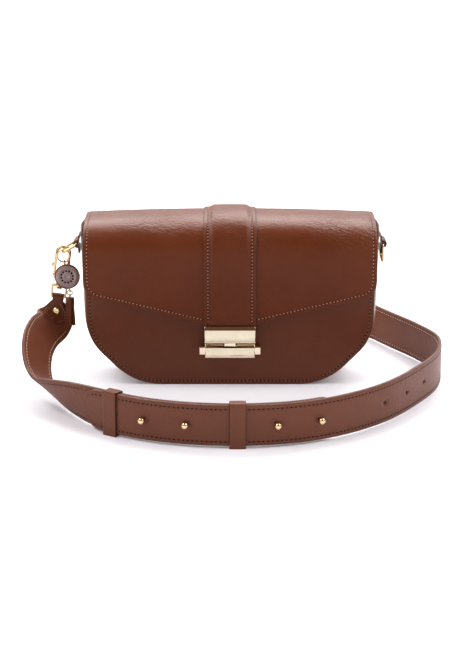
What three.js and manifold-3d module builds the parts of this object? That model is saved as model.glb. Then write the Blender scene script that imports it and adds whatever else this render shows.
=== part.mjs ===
// Flap-front leather sling bag with a gold clasp, a wide adjustable strap on swivel hooks
// and a hanging charm. Millimetres, +X to the wearer's right as seen from the front,
// +Y to the back, +Z up. The origin is the middle of the flat base.
import * as THREE from "three";
import { mergeVertices } from "three/addons/utils/BufferGeometryUtils.js";
import Module from "manifold-3d";

const wasm = await Module();
wasm.setup();

// ---------- driving dimensions ----------
const GAP = 0.3;
const LEATHER = 2;
const LINING = 0.8;

// body
const HALF_WIDTH = 132;
const HALF_DEPTH = 36.5;
const BASE_HALF = 87;
const CORNER_X = 129.5;
const CORNER_Z = 42.5;
const BASE_FILLET = 60;
const SIDE_FILLET = 45;
const FRONT_TOP = 125;
const BACK_TOP = 133;
const GUSSET_TOP = 142;
const SIDE_BULGE = 4.5;
const LINING_INSET = 4.1;
const PANEL_LINING_INSET = 4.6;
const GUSSET_LINING_DEPTH = 31.1;
const PANEL_LINING_DEPTH = 32.2;
const LINING_DROP = 1.5;
const POCKET = { half: 60, low: 50, high: 122 };
const BOARD = { half: 60, depth: 30 };

// flap
const FLAP_BACK_Y = HALF_DEPTH + GAP + LEATHER;
const FLAP_FRONT_Y = -42;
const FLAP_SEAM_Z = 116;
const LIFT_Z = 140.15;
const FOLD_Z = 126;
const FLAP_CROWN = 3.2;
const FLAP_TIP_Z = 59.3;
const FLAP_SLOPE = Math.tan(THREE.MathUtils.degToRad(13.6));
const FLAP_CORNER = 16;
const TONGUE_HALF = 21.5;
const TONGUE_Z = 44;

// centre strip
const STRIP_HALF = 23.5;
const STRIP_THICK = 1.6;
const STRIP_PAD = 3.2;
const STRIP_END_Z = 58.3;

// clasp
const PLATE = { half: 23, low: 42, high: 57.4, front: -48, bevel: 3.6 };
const CASE = { half: 22.5, low: 28.6, high: 41, front: -48.5, bevel: 3.5 };
const LATCH_HALF = 5;
const BUTTON = { inner: 17.5, outer: 27.5, depth: 6, height: 8, y: -42.2, z: 34.75 };
const RIVET_X = 14;
const RIVET_R = 1.5;
const BACKPLATE = { half: 20, inset: 1.4, thick: 0.9 };
const TONGUE = { front: -46, back: -43.2, high: 48.7, overlap: 2.4, room: 2.8 };
const KNOB_ROUND = 1.2;
const SPRING = { inner: 1.4, outer: 2.1, long: 3.2 };

// rings, hooks and charm
const BAR_X = 139.4;
const BAR_Z = 125.5;
const TAB_HALF = 9;
const RING_WIRE = 1.3;
const RING_HALF = 11.2;
const RING_CORNER = 2.6;
const RING_DROP = 15.5;
const LEFT_RING_TURN = THREE.MathUtils.degToRad(60);
const HOOK_Y = 1;
const HOOK_THICK = 4.4;
const HOOK_LEAN = THREE.MathUtils.degToRad(8);
const HOOK = { half: 7.5, wall: 3, arch: -4, eyeEnd: -25, base: -33, gateLow: -22 };
const GATE = { slack: 0.5, nubHigh: -14, nubLow: -18, nubOut: 2, nubSlope: 1 };
const SWIVEL = { half: 7.6, top: -33.6, bar: 3, end: -47.4, wire: 2.3, round: 3, chamfer: 1 };
const SHANK = { radius: 1.6, headRadius: 2.8, headTop: -37.1, headLow: -38.4, collar: 3.1 };
const CHARM_Y = -9;
const CHARM_TILT = THREE.MathUtils.degToRad(9);
const CHARM_RING = { inner: 5, wire: 0.7 };
const TOP_LUG = { radius: 2, wire: 0.7, drop: 0.2 };
const LOW_LUG = { radius: 1.7, wire: 0.6, drop: 1.5 };
const DISC_R = 11.75;
const DISC = { back: -1.3, front: 1.4, floor: 0.3, edge: 0.5, lip: 0.4 };
const FACE = { radius: 10.4, thick: 0.7, y: -0.95 };
const TASSEL_TILT = THREE.MathUtils.degToRad(1);
const TASSEL = { link: 2.4, linkWire: 0.55, capTop: -7, cap: 7, fringe: 19 };
const TASSEL_R = { top: 4, waist: 4.3, end: 5 };

// strap
const STRAP_HALF = 17.5;
const STRAP_THICK = 3.4;
const STRAP_Z = 19.5;
const STUD_X = [-71, -36, 38, 73];
const FREE_HOLE_ARC = [35, 70, 105];
const KEEPER_X = [-98.5, 6];
const KEEPER = { wide: 13, wall: 1.6, room: 0.5 };
const TAB_THICK = 1.4;
const TAB_GAP = 0.6;
const TAB_REACH = 4.4;
const TAB_RIVET_AT = 9.3;
const SHOULDER = { half: 6, long: 14 };
const STUD_HOLE = 1.5;
const KEYHOLE = { radius: 2, slit: 6, width: 0.5 };
const FREE_HOLE_START = 36;
const LONG_TIP_X = -121;
const SHORT_TIP_X = 88;

// Middle line of the strap from the left hook, round the front and right of the bag to the
// back, each with the direction of the strap's upper edge. It stands on edge on the floor
// except where it rises and turns over to the left hook.
const STRAP_ROUTE = [
  [[-159.7, 2.85, 68.7], [-0.99, 0, 0.14]],
  [[-161.2, 2.5, 58.5], [-0.98, -0.03, 0.2]],
  [[-164.8, -5.5, 48.5], [-0.86, -0.22, 0.46]],
  [[-171.5, -25, 45.5], [-0.71, -0.4, 0.58]],
  [[-174.8, -46, 41], [-0.68, -0.37, 0.63]],
  [[-174.5, -66, 31], [-0.66, -0.33, 0.68]],
  [[-169.5, -86, 21.5], [-0.66, -0.33, 0.68]],
  [[-161, -104.5, 16], [-0.62, -0.34, 0.71]],
  [[-148.5, -123, 17.2], [-0.42, -0.28, 0.86]],
  [[-134, -140.5, 18.8], [-0.22, -0.18, 0.96]],
  [[-119, -156, 19.4], [-0.07, -0.08, 0.99]],
  [[-100, -171.5, STRAP_Z], [0, 0, 1]],
  [[-72, -188, STRAP_Z], [0, 0, 1]],
  [[-36, -200, STRAP_Z], [0, 0, 1]],
  [[6, -204, STRAP_Z], [0, 0, 1]],
  [[50, -198, STRAP_Z], [0, 0, 1]],
  [[92, -178, STRAP_Z], [0, 0, 1]],
  [[130, -145, STRAP_Z], [0, 0, 1]],
  [[162, -99, STRAP_Z], [0, 0, 1]],
  [[185, -52, STRAP_Z], [0, 0, 1]],
  [[191, -5, STRAP_Z], [0, 0, 1]],
  [[176, 37, STRAP_Z], [0, 0, 1]],
  [[155, 76, STRAP_Z], [0, 0, 1]],
  [[135, 112, STRAP_Z], [0, 0, 1]],
  [[104, 142, STRAP_Z], [0, 0, 1]],
  [[60, 157, STRAP_Z], [0, 0, 1]],
  [[15, 160, STRAP_Z], [0, 0, 1]],
  [[-30, 156, STRAP_Z], [0, 0, 1]],
  [[-62, 150, STRAP_Z], [0, 0, 1]],
];

// ---------- materials ----------
function finish(color, roughness, metalness) {
  return new THREE.MeshStandardMaterial({ color, roughness, metalness });
}
const leather = finish(0x70391f, 0.45, 0);
const strapLeather = finish(0x6f4236, 0.5, 0);
const lining = finish(0x8d6f58, 0.9, 0);
const gold = finish(0xe8d5ae, 0.2, 1);
const steel = finish(0xb8b8b8, 0.35, 1);
const board = finish(0x6b6258, 0.9, 0);
const enamel = finish(0x988a84, 0.5, 0);

// ---------- geometry helpers ----------
function vec(x, y, z) {
  return new THREE.Vector3(x, y, z);
}

function signedVolume(positions, index) {
  const corner = (k) => new THREE.Vector3().fromArray(positions, 3 * index[k]);
  let sum = 0;
  for (let k = 0; k < index.length; k += 3) {
    sum += corner(k).dot(corner(k + 1).cross(corner(k + 2)));
  }
  return sum;
}

function indexed(positions, index) {
  const outward = signedVolume(positions, index) > 0;
  const faces = outward ? index : [...index].reverse();
  const geometry = new THREE.BufferGeometry();
  geometry.setAttribute("position", new THREE.BufferAttribute(new Float32Array(positions), 3));
  geometry.setIndex(faces);
  return geometry;
}

function quad(index, a, b, c, d) {
  index.push(a, b, c, a, c, d);
}

// One closed sheet from two matching grids of points, its outer and inner faces.
function shell(outer, inner) {
  const rows = outer.length;
  const cols = outer[0].length;
  const positions = [outer, inner].flat(2).flatMap((p) => [p.x, p.y, p.z]);
  const at = (side, i, j) => (side * rows + i) * cols + j;
  const index = [];
  for (let i = 0; i < rows - 1; i += 1) {
    for (let j = 0; j < cols - 1; j += 1) {
      quad(index, at(0, i, j), at(0, i, j + 1), at(0, i + 1, j + 1), at(0, i + 1, j));
      quad(index, at(1, i, j), at(1, i + 1, j), at(1, i + 1, j + 1), at(1, i, j + 1));
    }
    quad(index, at(0, i, 0), at(0, i + 1, 0), at(1, i + 1, 0), at(1, i, 0));
    quad(index, at(0, i + 1, cols - 1), at(0, i, cols - 1), at(1, i, cols - 1), at(1, i + 1, cols - 1));
  }
  for (let j = 0; j < cols - 1; j += 1) {
    const last = rows - 1;
    quad(index, at(0, 0, j + 1), at(0, 0, j), at(1, 0, j), at(1, 0, j + 1));
    quad(index, at(0, last, j), at(0, last, j + 1), at(1, last, j + 1), at(1, last, j));
  }
  return indexed(positions, index);
}

// A round wire bent into a closed flat loop.
function wireLoop(points, radius, normal, sides = 8) {
  const positions = [];
  const index = [];
  const count = points.length;
  points.forEach((p, i) => {
    const along = points[(i + 1) % count].clone().sub(points[(i + count - 1) % count]).normalize();
    const side = along.cross(normal).normalize();
    for (let k = 0; k < sides; k += 1) {
      const turn = (2 * Math.PI * k) / sides;
      const q = p.clone().addScaledVector(side, radius * Math.cos(turn));
      q.addScaledVector(normal, radius * Math.sin(turn));
      positions.push(q.x, q.y, q.z);
      quad(
        index,
        i * sides + k,
        i * sides + ((k + 1) % sides),
        ((i + 1) % count) * sides + ((k + 1) % sides),
        ((i + 1) % count) * sides + k,
      );
    }
  });
  return indexed(positions, index);
}

function toSolid(geometry) {
  const bare = geometry.clone();
  bare.deleteAttribute("normal");
  bare.deleteAttribute("uv");
  const merged = mergeVertices(bare, 1e-4);
  return new wasm.Manifold(new wasm.Mesh({
    numProp: 3,
    vertProperties: merged.attributes.position.array,
    triVerts: new Uint32Array(merged.index.array),
  }));
}

function toGeometry(solid) {
  const mesh = solid.getMesh();
  return indexed([...mesh.vertProperties], [...mesh.triVerts]);
}

function cut(geometry, cutters) {
  return toGeometry(cutters.reduce((solid, cutter) => solid.subtract(toSolid(cutter)), toSolid(geometry)));
}

function join(geometries) {
  const [first, ...rest] = geometries.map(toSolid);
  return toGeometry(rest.reduce((solid, next) => solid.add(next), first));
}

function box(low, high) {
  const geometry = new THREE.BoxGeometry(high[0] - low[0], high[1] - low[1], high[2] - low[2]);
  return geometry.translate((low[0] + high[0]) / 2, (low[1] + high[1]) / 2, (low[2] + high[2]) / 2);
}

// A cylinder from one point to another.
function rod(from, to, radius, sides = 12) {
  const along = to.clone().sub(from);
  const geometry = new THREE.CylinderGeometry(radius, radius, along.length(), sides);
  const turn = new THREE.Quaternion().setFromUnitVectors(vec(0, 1, 0), along.clone().normalize());
  return geometry.applyQuaternion(turn).translate(...from.clone().addScaledVector(along, 0.5));
}

// An outline in the YZ plane, pulled along X between two ends.
function pullAlongX(yz, from, to) {
  const shape = new THREE.Shape(yz.map(([y, z]) => new THREE.Vector2(y, z)));
  const geometry = new THREE.ExtrudeGeometry(shape, { depth: to - from, bevelEnabled: false });
  const axes = new THREE.Matrix4().makeBasis(vec(0, 1, 0), vec(0, 0, 1), vec(1, 0, 0));
  return geometry.applyMatrix4(axes).translate(from, 0, 0);
}

// An outline in the XZ plane, pulled towards the back between two depths.
function pullAlongY(shape, from, to, curveSegments = 8) {
  const options = { depth: to - from, bevelEnabled: false, curveSegments };
  const geometry = new THREE.ExtrudeGeometry(shape, options);
  const axes = new THREE.Matrix4().makeBasis(vec(1, 0, 0), vec(0, 0, 1), vec(0, -1, 0));
  return geometry.applyMatrix4(axes).translate(0, to, 0);
}

const root = new THREE.Group();

function add(name, geometry, material, parent = root) {
  const mesh = new THREE.Mesh(geometry, material);
  mesh.name = name;
  parent.add(mesh);
  return mesh;
}

// ---------- bag body ----------
// Point on a corner rounded with a fillet, and the arc's points between the two straights.
function filletArc(before, corner, after, radius, steps) {
  const a = before.clone().sub(corner).normalize();
  const b = after.clone().sub(corner).normalize();
  const half = a.angleTo(b) / 2;
  const middle = a.clone().add(b).normalize();
  const centre = corner.clone().addScaledVector(middle, radius / Math.sin(half));
  const start = corner.clone().addScaledVector(a, radius / Math.tan(half)).sub(centre);
  const end = corner.clone().addScaledVector(b, radius / Math.tan(half)).sub(centre);
  const sweep = Math.atan2(start.cross(end), start.dot(end));
  const points = [];
  for (let k = 0; k <= steps; k += 1) {
    points.push(start.clone().rotateAround(new THREE.Vector2(), (sweep * k) / steps).add(centre));
  }
  return points;
}

// Right half of the body outline from the middle of the base up to the given height, moved
// inwards by an inset.
function halfOutline(top, inset) {
  const base = new THREE.Vector2(0, 0);
  const low = new THREE.Vector2(BASE_HALF, 0);
  const side = new THREE.Vector2(CORNER_X, CORNER_Z);
  const high = new THREE.Vector2(HALF_WIDTH, top);
  const line = [
    base,
    ...filletArc(base, low, side, BASE_FILLET, 5),
    ...filletArc(low, side, high, SIDE_FILLET, 6),
    high,
  ];
  return line.map((p, i) => {
    const next = line[Math.min(i + 1, line.length - 1)];
    const last = line[Math.max(i - 1, 0)];
    const along = next.clone().sub(last).normalize();
    return new THREE.Vector2(p.x - inset * along.y, p.y + inset * along.x);
  });
}

function panelShape(top, inset) {
  const right = halfOutline(top, inset);
  const left = right.slice(1).reverse().map((p) => new THREE.Vector2(-p.x, p.y));
  return new THREE.Shape([...left, ...right]);
}

function makePanel(top, inset, from, to) {
  return pullAlongY(panelShape(top, inset), from, to);
}

// The gusset's top edge falls away to the front and back, under the flap's curve.
function gussetTop(y) {
  const forward = Math.max(0, -y - 8) / 26;
  const backward = Math.max(0, y - 20) / 14;
  return GUSSET_TOP - 17 * forward ** 2 - 8 * backward ** 2;
}

// The band round the sides and base. It bellies out at mid depth on the sides only.
function gussetGrid(inset, halfDepth, topDrop) {
  const right = halfOutline(GUSSET_TOP, 0);
  const left = right.slice(1).reverse().map((p) => new THREE.Vector2(-p.x, p.y));
  const line = [...left, ...right];
  const depths = [-1, -0.5, 0, 0.5, 1].map((f) => f * halfDepth);
  return line.map((p, i) => {
    const next = line[Math.min(i + 1, line.length - 1)];
    const last = line[Math.max(i - 1, 0)];
    const along = next.clone().sub(last).normalize();
    const rise = THREE.MathUtils.smoothstep(p.y, 8, 70);
    return depths.map((y) => {
      const belly = SIDE_BULGE * rise * (1 - (y / HALF_DEPTH) ** 2);
      const out = belly - inset;
      const full = i === 0 || i === line.length - 1;
      const z = full ? gussetTop(y) - topDrop : p.y - out * along.x;
      return vec(p.x + out * along.y, y, z);
    });
  });
}

function makeBody() {
  const inner = HALF_DEPTH - LEATHER;
  const rivets = [-RIVET_X, RIVET_X].map((x) => rod(
    vec(x, -HALF_DEPTH - 1, (CASE.low + CASE.high) / 2),
    vec(x, -inner + 1, (CASE.low + CASE.high) / 2),
    RIVET_R + GAP,
  ));
  add("front_panel", cut(makePanel(FRONT_TOP, 0, -HALF_DEPTH, -inner), rivets), leather);
  add("back_panel", makePanel(BACK_TOP, 0, inner, HALF_DEPTH), leather);
  const depth = inner - GAP;
  add("gusset", shell(gussetGrid(0, depth, 0), gussetGrid(LEATHER, depth, 0)), leather);
  add("gusset_lining", shell(
    gussetGrid(LINING_INSET, GUSSET_LINING_DEPTH, LINING_DROP),
    gussetGrid(LINING_INSET + LINING, GUSSET_LINING_DEPTH, LINING_DROP),
  ), lining);
  const inset = PANEL_LINING_INSET;
  const face = PANEL_LINING_DEPTH;
  add("front_lining", makePanel(FRONT_TOP - LINING_DROP, inset, -face, LINING - face), lining);
  add("back_lining", makePanel(BACK_TOP - LINING_DROP, inset, face - LINING, face), lining);
  const pocket = face - LINING - GAP;
  const { half, low, high } = POCKET;
  add("slip_pocket", box([-half, pocket - LINING, low], [half, pocket, high]), lining);
  add("base_board", box(
    [-BOARD.half, -BOARD.depth, LEATHER + GAP],
    [BOARD.half, BOARD.depth, LINING_INSET - GAP],
  ), board);
}

// ---------- flap ----------
const flapCurve = new THREE.SplineCurve([
  [FLAP_BACK_Y, FLAP_SEAM_Z - 6],
  [FLAP_BACK_Y, FLAP_SEAM_Z],
  [FLAP_BACK_Y, 134],
  [36.8, 142.4],
  [29, 147.8],
  [14, 149.3],
  [-4, 149.1],
  [-20, 146.2],
  [-32, 139.8],
  [-39, 130.2],
  [-41.6, 119],
  [FLAP_FRONT_Y, 106],
  [FLAP_FRONT_Y, 80],
  [FLAP_FRONT_Y, 40],
].map(([y, z]) => new THREE.Vector2(y, z)));
flapCurve.arcLengthDivisions = 800;

// Place along the flap's curve at a height, on its back or its front side.
function flapAt(height, front) {
  let low = front ? 0.35 : 0;
  let high = front ? 1 : 0.35;
  for (let k = 0; k < 40; k += 1) {
    const middle = (low + high) / 2;
    const above = flapCurve.getPointAt(middle).y > height;
    if (above === front) low = middle;
    else high = middle;
  }
  return (low + high) / 2;
}

function flapPoint(x, along, lift) {
  const p = flapCurve.getPointAt(along);
  const t = flapCurve.getTangentAt(along);
  const crown = FLAP_CROWN * (1 - (x / HALF_WIDTH) ** 2) * THREE.MathUtils.smoothstep(p.y, 118, 146);
  return vec(x, p.x + lift * t.y, p.y + crown - lift * t.x);
}

// A stretch of the flap between two places along it, as wide as the given columns. The end
// may differ from column to column.
function flapSheet(columns, start, endOf, rows, outerLift, innerLift) {
  const grid = (liftOf) => columns.map((x) => {
    const line = [];
    for (let k = 0; k <= rows; k += 1) {
      const along = THREE.MathUtils.lerp(start, endOf(x), k / rows);
      line.push(flapPoint(x, along, liftOf(x)));
    }
    return line;
  });
  return shell(grid(outerLift), grid(innerLift));
}

function flapEdgeHeight(x) {
  const across = Math.abs(x);
  if (across <= TONGUE_HALF) return TONGUE_Z;
  const centre = HALF_WIDTH - FLAP_CORNER;
  const diagonal = FLAP_TIP_Z + FLAP_SLOPE * (across - 24);
  const cosine = Math.cos(Math.atan(FLAP_SLOPE));
  if (across < centre + FLAP_CORNER * FLAP_SLOPE * cosine) return diagonal;
  const middle = FLAP_TIP_Z + FLAP_SLOPE * (centre - 24) + FLAP_CORNER / cosine;
  return middle - Math.sqrt(FLAP_CORNER ** 2 - Math.min(across - centre, FLAP_CORNER) ** 2);
}

function mirrored(half, middle = []) {
  return [...half.map((x) => -x).reverse(), ...middle, ...half];
}

function stripLift(x) {
  const shoulder = THREE.MathUtils.smoothstep(STRIP_HALF - Math.abs(x), 4.5, 9.5);
  return GAP + STRIP_THICK + STRIP_PAD * shoulder;
}

function makeFlap() {
  const seam = flapAt(FLAP_SEAM_Z, false);
  const liftEnd = flapAt(LIFT_Z - GAP / 2, false);
  const topStart = flapAt(LIFT_Z + GAP / 2, false);
  const topEnd = flapAt(FOLD_Z + GAP / 2, true);
  const frontStart = flapAt(FOLD_Z - GAP / 2, true);
  const wide = mirrored([12, 40, 75, 105, HALF_WIDTH]);
  const hem = mirrored([10, TONGUE_HALF, TONGUE_HALF + 0.8, 50, 85, 110, 119.8, 125, 129, 131.2, HALF_WIDTH]);
  const frontEnd = (x) => flapAt(flapEdgeHeight(x), true);
  const liningDrop = -LEATHER - GAP;
  const rivetZ = (PLATE.low + PLATE.high) / 2;
  const rivets = [-RIVET_X, RIVET_X].map((x) => rod(
    vec(x, FLAP_FRONT_Y - 1, rivetZ),
    vec(x, FLAP_FRONT_Y + 4, rivetZ),
    RIVET_R + GAP,
  ));
  add("flap_back", flapSheet(wide, seam, () => liftEnd, 3, () => 0, () => -LEATHER), leather);
  add("flap_top", flapSheet(wide, topStart, () => topEnd, 14, () => 0, () => -LEATHER), leather);
  add("flap_front", cut(
    flapSheet(hem, frontStart, frontEnd, 4, () => 0, () => -LEATHER),
    rivets,
  ), leather);
  const inside = (x) => x * (HALF_WIDTH - 1) / HALF_WIDTH;
  const sheetOf = () => liningDrop;
  const backOf = () => liningDrop - LINING;
  add("flap_lining_top", flapSheet(wide.map(inside), topStart, () => topEnd, 14, sheetOf, backOf), lining);
  add("flap_lining_front", cut(
    flapSheet(hem.map(inside), frontStart, (x) => flapAt(flapEdgeHeight(x) + 1, true), 4, sheetOf, backOf),
    rivets,
  ), lining);
}

function makeStrip() {
  const columns = mirrored([14, 16.5, 19, STRIP_HALF], [0]);
  const places = {
    strip_back: [flapAt(FLAP_SEAM_Z, false), flapAt(LIFT_Z - GAP / 2, false), 3],
    strip_top: [flapAt(LIFT_Z + GAP / 2, false), flapAt(FOLD_Z + GAP / 2, true), 14],
    strip_front: [flapAt(FOLD_Z - GAP / 2, true), flapAt(STRIP_END_Z, true), 4],
  };
  for (const [name, [start, end, rows]] of Object.entries(places)) {
    add(name, flapSheet(columns, start, () => end, rows, stripLift, () => GAP), leather);
  }
}

// ---------- clasp ----------
function bevelledBar(size, back) {
  return pullAlongX([
    [back, size.low],
    [back, size.high],
    [size.front + size.bevel, size.high],
    [size.front, size.high - size.bevel],
    [size.front, size.low],
  ], -size.half, size.half);
}

function makeClasp() {
  const slot = box(
    [-LATCH_HALF - GAP, TONGUE.front - GAP, PLATE.low - 1],
    [LATCH_HALF + GAP, TONGUE.back + GAP, TONGUE.high + GAP],
  );
  add("clasp_plate", cut(bevelledBar(PLATE, FLAP_FRONT_Y - GAP), [slot]), gold);
  add("clasp_tongue", box(
    [-LATCH_HALF, TONGUE.front, CASE.high - TONGUE.overlap],
    [LATCH_HALF, TONGUE.back, TONGUE.high],
  ), steel);
  const inside = FLAP_FRONT_Y + LEATHER + LINING + 2 * GAP;
  const { half, inset, thick } = BACKPLATE;
  add("clasp_backplate", box(
    [-half, inside, TONGUE_Z + inset],
    [half, inside + thick, PLATE.high - inset],
  ), steel);
  const rivetZ = (PLATE.low + PLATE.high) / 2;
  for (const [name, x] of [["left", -RIVET_X], ["right", RIVET_X]]) {
    const shank = rod(vec(x, FLAP_FRONT_Y, rivetZ), vec(x, inside - GAP, rivetZ), RIVET_R);
    add(`clasp_rivet_${name}`, shank, steel);
  }
}

function makeLock() {
  const wall = -HALF_DEPTH - GAP;
  const notch = box(
    [-LATCH_HALF - 2 * GAP, CASE.front - 1, CASE.high - TONGUE.room],
    [LATCH_HALF + 2 * GAP, FLAP_FRONT_Y + LEATHER, CASE.high + 1],
  );
  const halfDepth = BUTTON.depth / 2 + GAP;
  const halfHeight = BUTTON.height / 2 + GAP;
  const pockets = [-1, 1].map((side) => {
    const ends = [side * (BUTTON.inner - 4), side * (CASE.half + 1)].sort((a, b) => a - b);
    return box(
      [ends[0], BUTTON.y - halfDepth, BUTTON.z - halfHeight],
      [ends[1], BUTTON.y + halfDepth, BUTTON.z + halfHeight],
    );
  });
  add("lock_case", cut(bevelledBar(CASE, wall), [notch, ...pockets]), gold);
  const behind = -HALF_DEPTH + LEATHER + GAP;
  const middle = (CASE.low + CASE.high) / 2;
  const { half, inset, thick } = BACKPLATE;
  add("lock_backplate", box(
    [-half, behind, CASE.low + inset],
    [half, behind + thick, CASE.high - inset],
  ), steel);
  for (const [name, side] of [["left", -1], ["right", 1]]) {
    const shank = rod(
      vec(side * RIVET_X, wall + GAP, middle),
      vec(side * RIVET_X, behind - GAP, middle),
      RIVET_R,
    );
    add(`lock_rivet_${name}`, shank, steel);
    const knob = new THREE.Shape();
    const round = KNOB_ROUND;
    const y = BUTTON.depth / 2;
    const z = BUTTON.height / 2;
    knob.moveTo(-y + round, -z);
    knob.lineTo(y - round, -z);
    knob.absarc(y - round, -z + round, round, -Math.PI / 2, 0);
    knob.absarc(y - round, z - round, round, 0, Math.PI / 2);
    knob.absarc(-y + round, z - round, round, Math.PI / 2, Math.PI);
    knob.absarc(-y + round, -z + round, round, Math.PI, 1.5 * Math.PI);
    const outline = knob.getPoints(3).map((p) => [p.x + BUTTON.y, p.y + BUTTON.z]);
    const ends = [side * BUTTON.inner, side * BUTTON.outer].sort((a, b) => a - b);
    add(`button_${name}`, pullAlongX(outline, ends[0], ends[1]), gold);
    const { inner, outer, long } = SPRING;
    const spring = new THREE.LatheGeometry([
      [inner, 0], [outer, 0], [outer, long], [inner, long], [inner, 0],
    ].map(([r, h]) => new THREE.Vector2(r, h)), 12);
    spring.rotateZ(-Math.PI / 2 * side).translate(side * (BUTTON.inner - GAP - long), BUTTON.y, BUTTON.z);
    add(`button_spring_${name}`, spring, steel);
  }
}

// ---------- tabs and rings ----------
// Leather loop fixed to the top of the gusset, with the ring's bar inside it.
function makeRingTab(name, side) {
  const plate = HALF_WIDTH + SIDE_BULGE + 0.4;
  const shape = new THREE.Shape();
  shape.moveTo(plate, 117);
  shape.lineTo(plate + 1.6, 117);
  shape.lineTo(plate + 2.1, 121.6);
  shape.absarc(BAR_X, BAR_Z, 4, -Math.PI / 2, Math.PI / 2, false);
  shape.lineTo(plate + 1.4, 131);
  shape.lineTo(plate, 133);
  const hole = new THREE.Path();
  hole.absarc(BAR_X, BAR_Z, RING_WIRE + 0.6, 0, 2 * Math.PI, true);
  shape.holes.push(hole);
  const tab = pullAlongY(shape, -TAB_HALF, TAB_HALF, 5);
  add(name, side > 0 ? tab : tab.rotateZ(Math.PI), leather);
}

// Rounded ring in the YZ plane, its bar at the origin and its far side below.
function makeRing(name, side, turn) {
  const corner = RING_CORNER;
  const shape = new THREE.Shape();
  shape.moveTo(-RING_HALF, 0);
  shape.lineTo(-RING_HALF, -RING_DROP + corner);
  shape.absarc(-RING_HALF + corner, -RING_DROP + corner, corner, Math.PI, 1.5 * Math.PI);
  shape.absarc(RING_HALF - corner, -RING_DROP + corner, corner, 1.5 * Math.PI, 2 * Math.PI);
  shape.lineTo(RING_HALF, 0);
  shape.closePath();
  const points = shape.getPoints(4).slice(0, -1).map((p) => vec(0, p.x, p.y));
  const ring = wireLoop(points, RING_WIRE, vec(1, 0, 0));
  ring.rotateY(turn).translate(side * BAR_X, 0, BAR_Z);
  add(name, ring, gold);
}

// ---------- hooks ----------
function hookShape() {
  const { half, wall, arch, eyeEnd, base, gateLow } = HOOK;
  const inner = half - wall;
  const shape = new THREE.Shape();
  shape.moveTo(-half, arch);
  shape.absarc(0, arch, half, Math.PI, 0, true);
  shape.lineTo(half, eyeEnd);
  shape.lineTo(inner, base);
  shape.lineTo(-inner, base);
  shape.lineTo(-half, eyeEnd);
  shape.lineTo(-half, gateLow - 0.7);
  shape.lineTo(-inner, gateLow - 0.7);
  shape.lineTo(-inner, eyeEnd + 0.6);
  shape.lineTo(-inner + 0.6, eyeEnd);
  shape.lineTo(inner, eyeEnd);
  shape.lineTo(inner, arch);
  shape.absarc(0, arch, inner, 0, Math.PI, false);
  return shape;
}

function makeHook(side, parent) {
  const half = HOOK_THICK / 2;
  const body = pullAlongY(hookShape(), -half, half, 7);
  const shank = rod(vec(0, 0, HOOK.base + 1), vec(0, 0, SHANK.headTop - 0.5), SHANK.radius);
  const head = rod(vec(0, 0, SHANK.headTop), vec(0, 0, SHANK.headLow), SHANK.headRadius);
  add(`${side}_hook`, join([body, shank, head]), gold, parent);
  const outer = -HOOK.half + GAP;
  const inner = -HOOK.half + HOOK.wall - GAP;
  const nub = -HOOK.half - GATE.nubOut;
  const gate = new THREE.Shape([
    [outer, HOOK.gateLow],
    [inner, HOOK.gateLow],
    [inner, HOOK.arch - GAP],
    [outer, HOOK.arch - GAP],
    [outer, GATE.nubHigh],
    [nub, GATE.nubHigh - GATE.nubSlope],
    [nub, GATE.nubLow + GATE.nubSlope],
    [outer, GATE.nubLow],
  ].map(([x, z]) => new THREE.Vector2(x, z)));
  add(`${side}_gate`, pullAlongY(gate, GATE.slack - half, half - GATE.slack), gold, parent);
}

function makeSwivelRing(side, parent) {
  const { half, top, bar, end, wire, round, chamfer } = SWIVEL;
  const shape = new THREE.Shape();
  shape.moveTo(-half, end + chamfer);
  shape.lineTo(-half + chamfer, end);
  shape.lineTo(half - chamfer, end);
  shape.lineTo(half, end + chamfer);
  shape.lineTo(half, top - round);
  shape.absarc(half - round, top - round, round, 0, Math.PI / 2, false);
  shape.absarc(-half + round, top - round, round, Math.PI / 2, Math.PI, false);
  shape.holes.push(new THREE.Path([
    new THREE.Vector2(-half + wire, end + wire),
    new THREE.Vector2(-half + wire, top - bar),
    new THREE.Vector2(half - wire, top - bar),
    new THREE.Vector2(half - wire, end + wire),
  ]));
  const frame = pullAlongY(shape, -wire / 2, wire / 2, 4);
  const collar = rod(vec(0, 0, top), vec(0, 0, top - bar), SHANK.collar);
  const bore = rod(vec(0, 0, top + 1), vec(0, 0, top - bar - 1), SHANK.radius + GAP);
  add(`${side}_swivel_ring`, cut(join([frame, collar]), [bore]), gold, parent);
}

// ---------- charm ----------
// Heights of the charm's pieces, measured down from the middle of the ring's far side.
const charmRingZ = RING_WIRE + GAP - CHARM_RING.inner;
const topLugZ = charmRingZ - CHARM_RING.inner - CHARM_RING.wire - TOP_LUG.drop;
const discZ = topLugZ - TOP_LUG.radius - DISC_R;
const lowLugZ = discZ - DISC_R - LOW_LUG.drop;

// A small eye that faces sideways, so that a ring facing the front can pass through it.
function lug(size, z) {
  const eye = new THREE.TorusGeometry(size.radius, size.wire, 6, 10);
  return eye.rotateY(Math.PI / 2).translate(0, 0, z);
}

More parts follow.
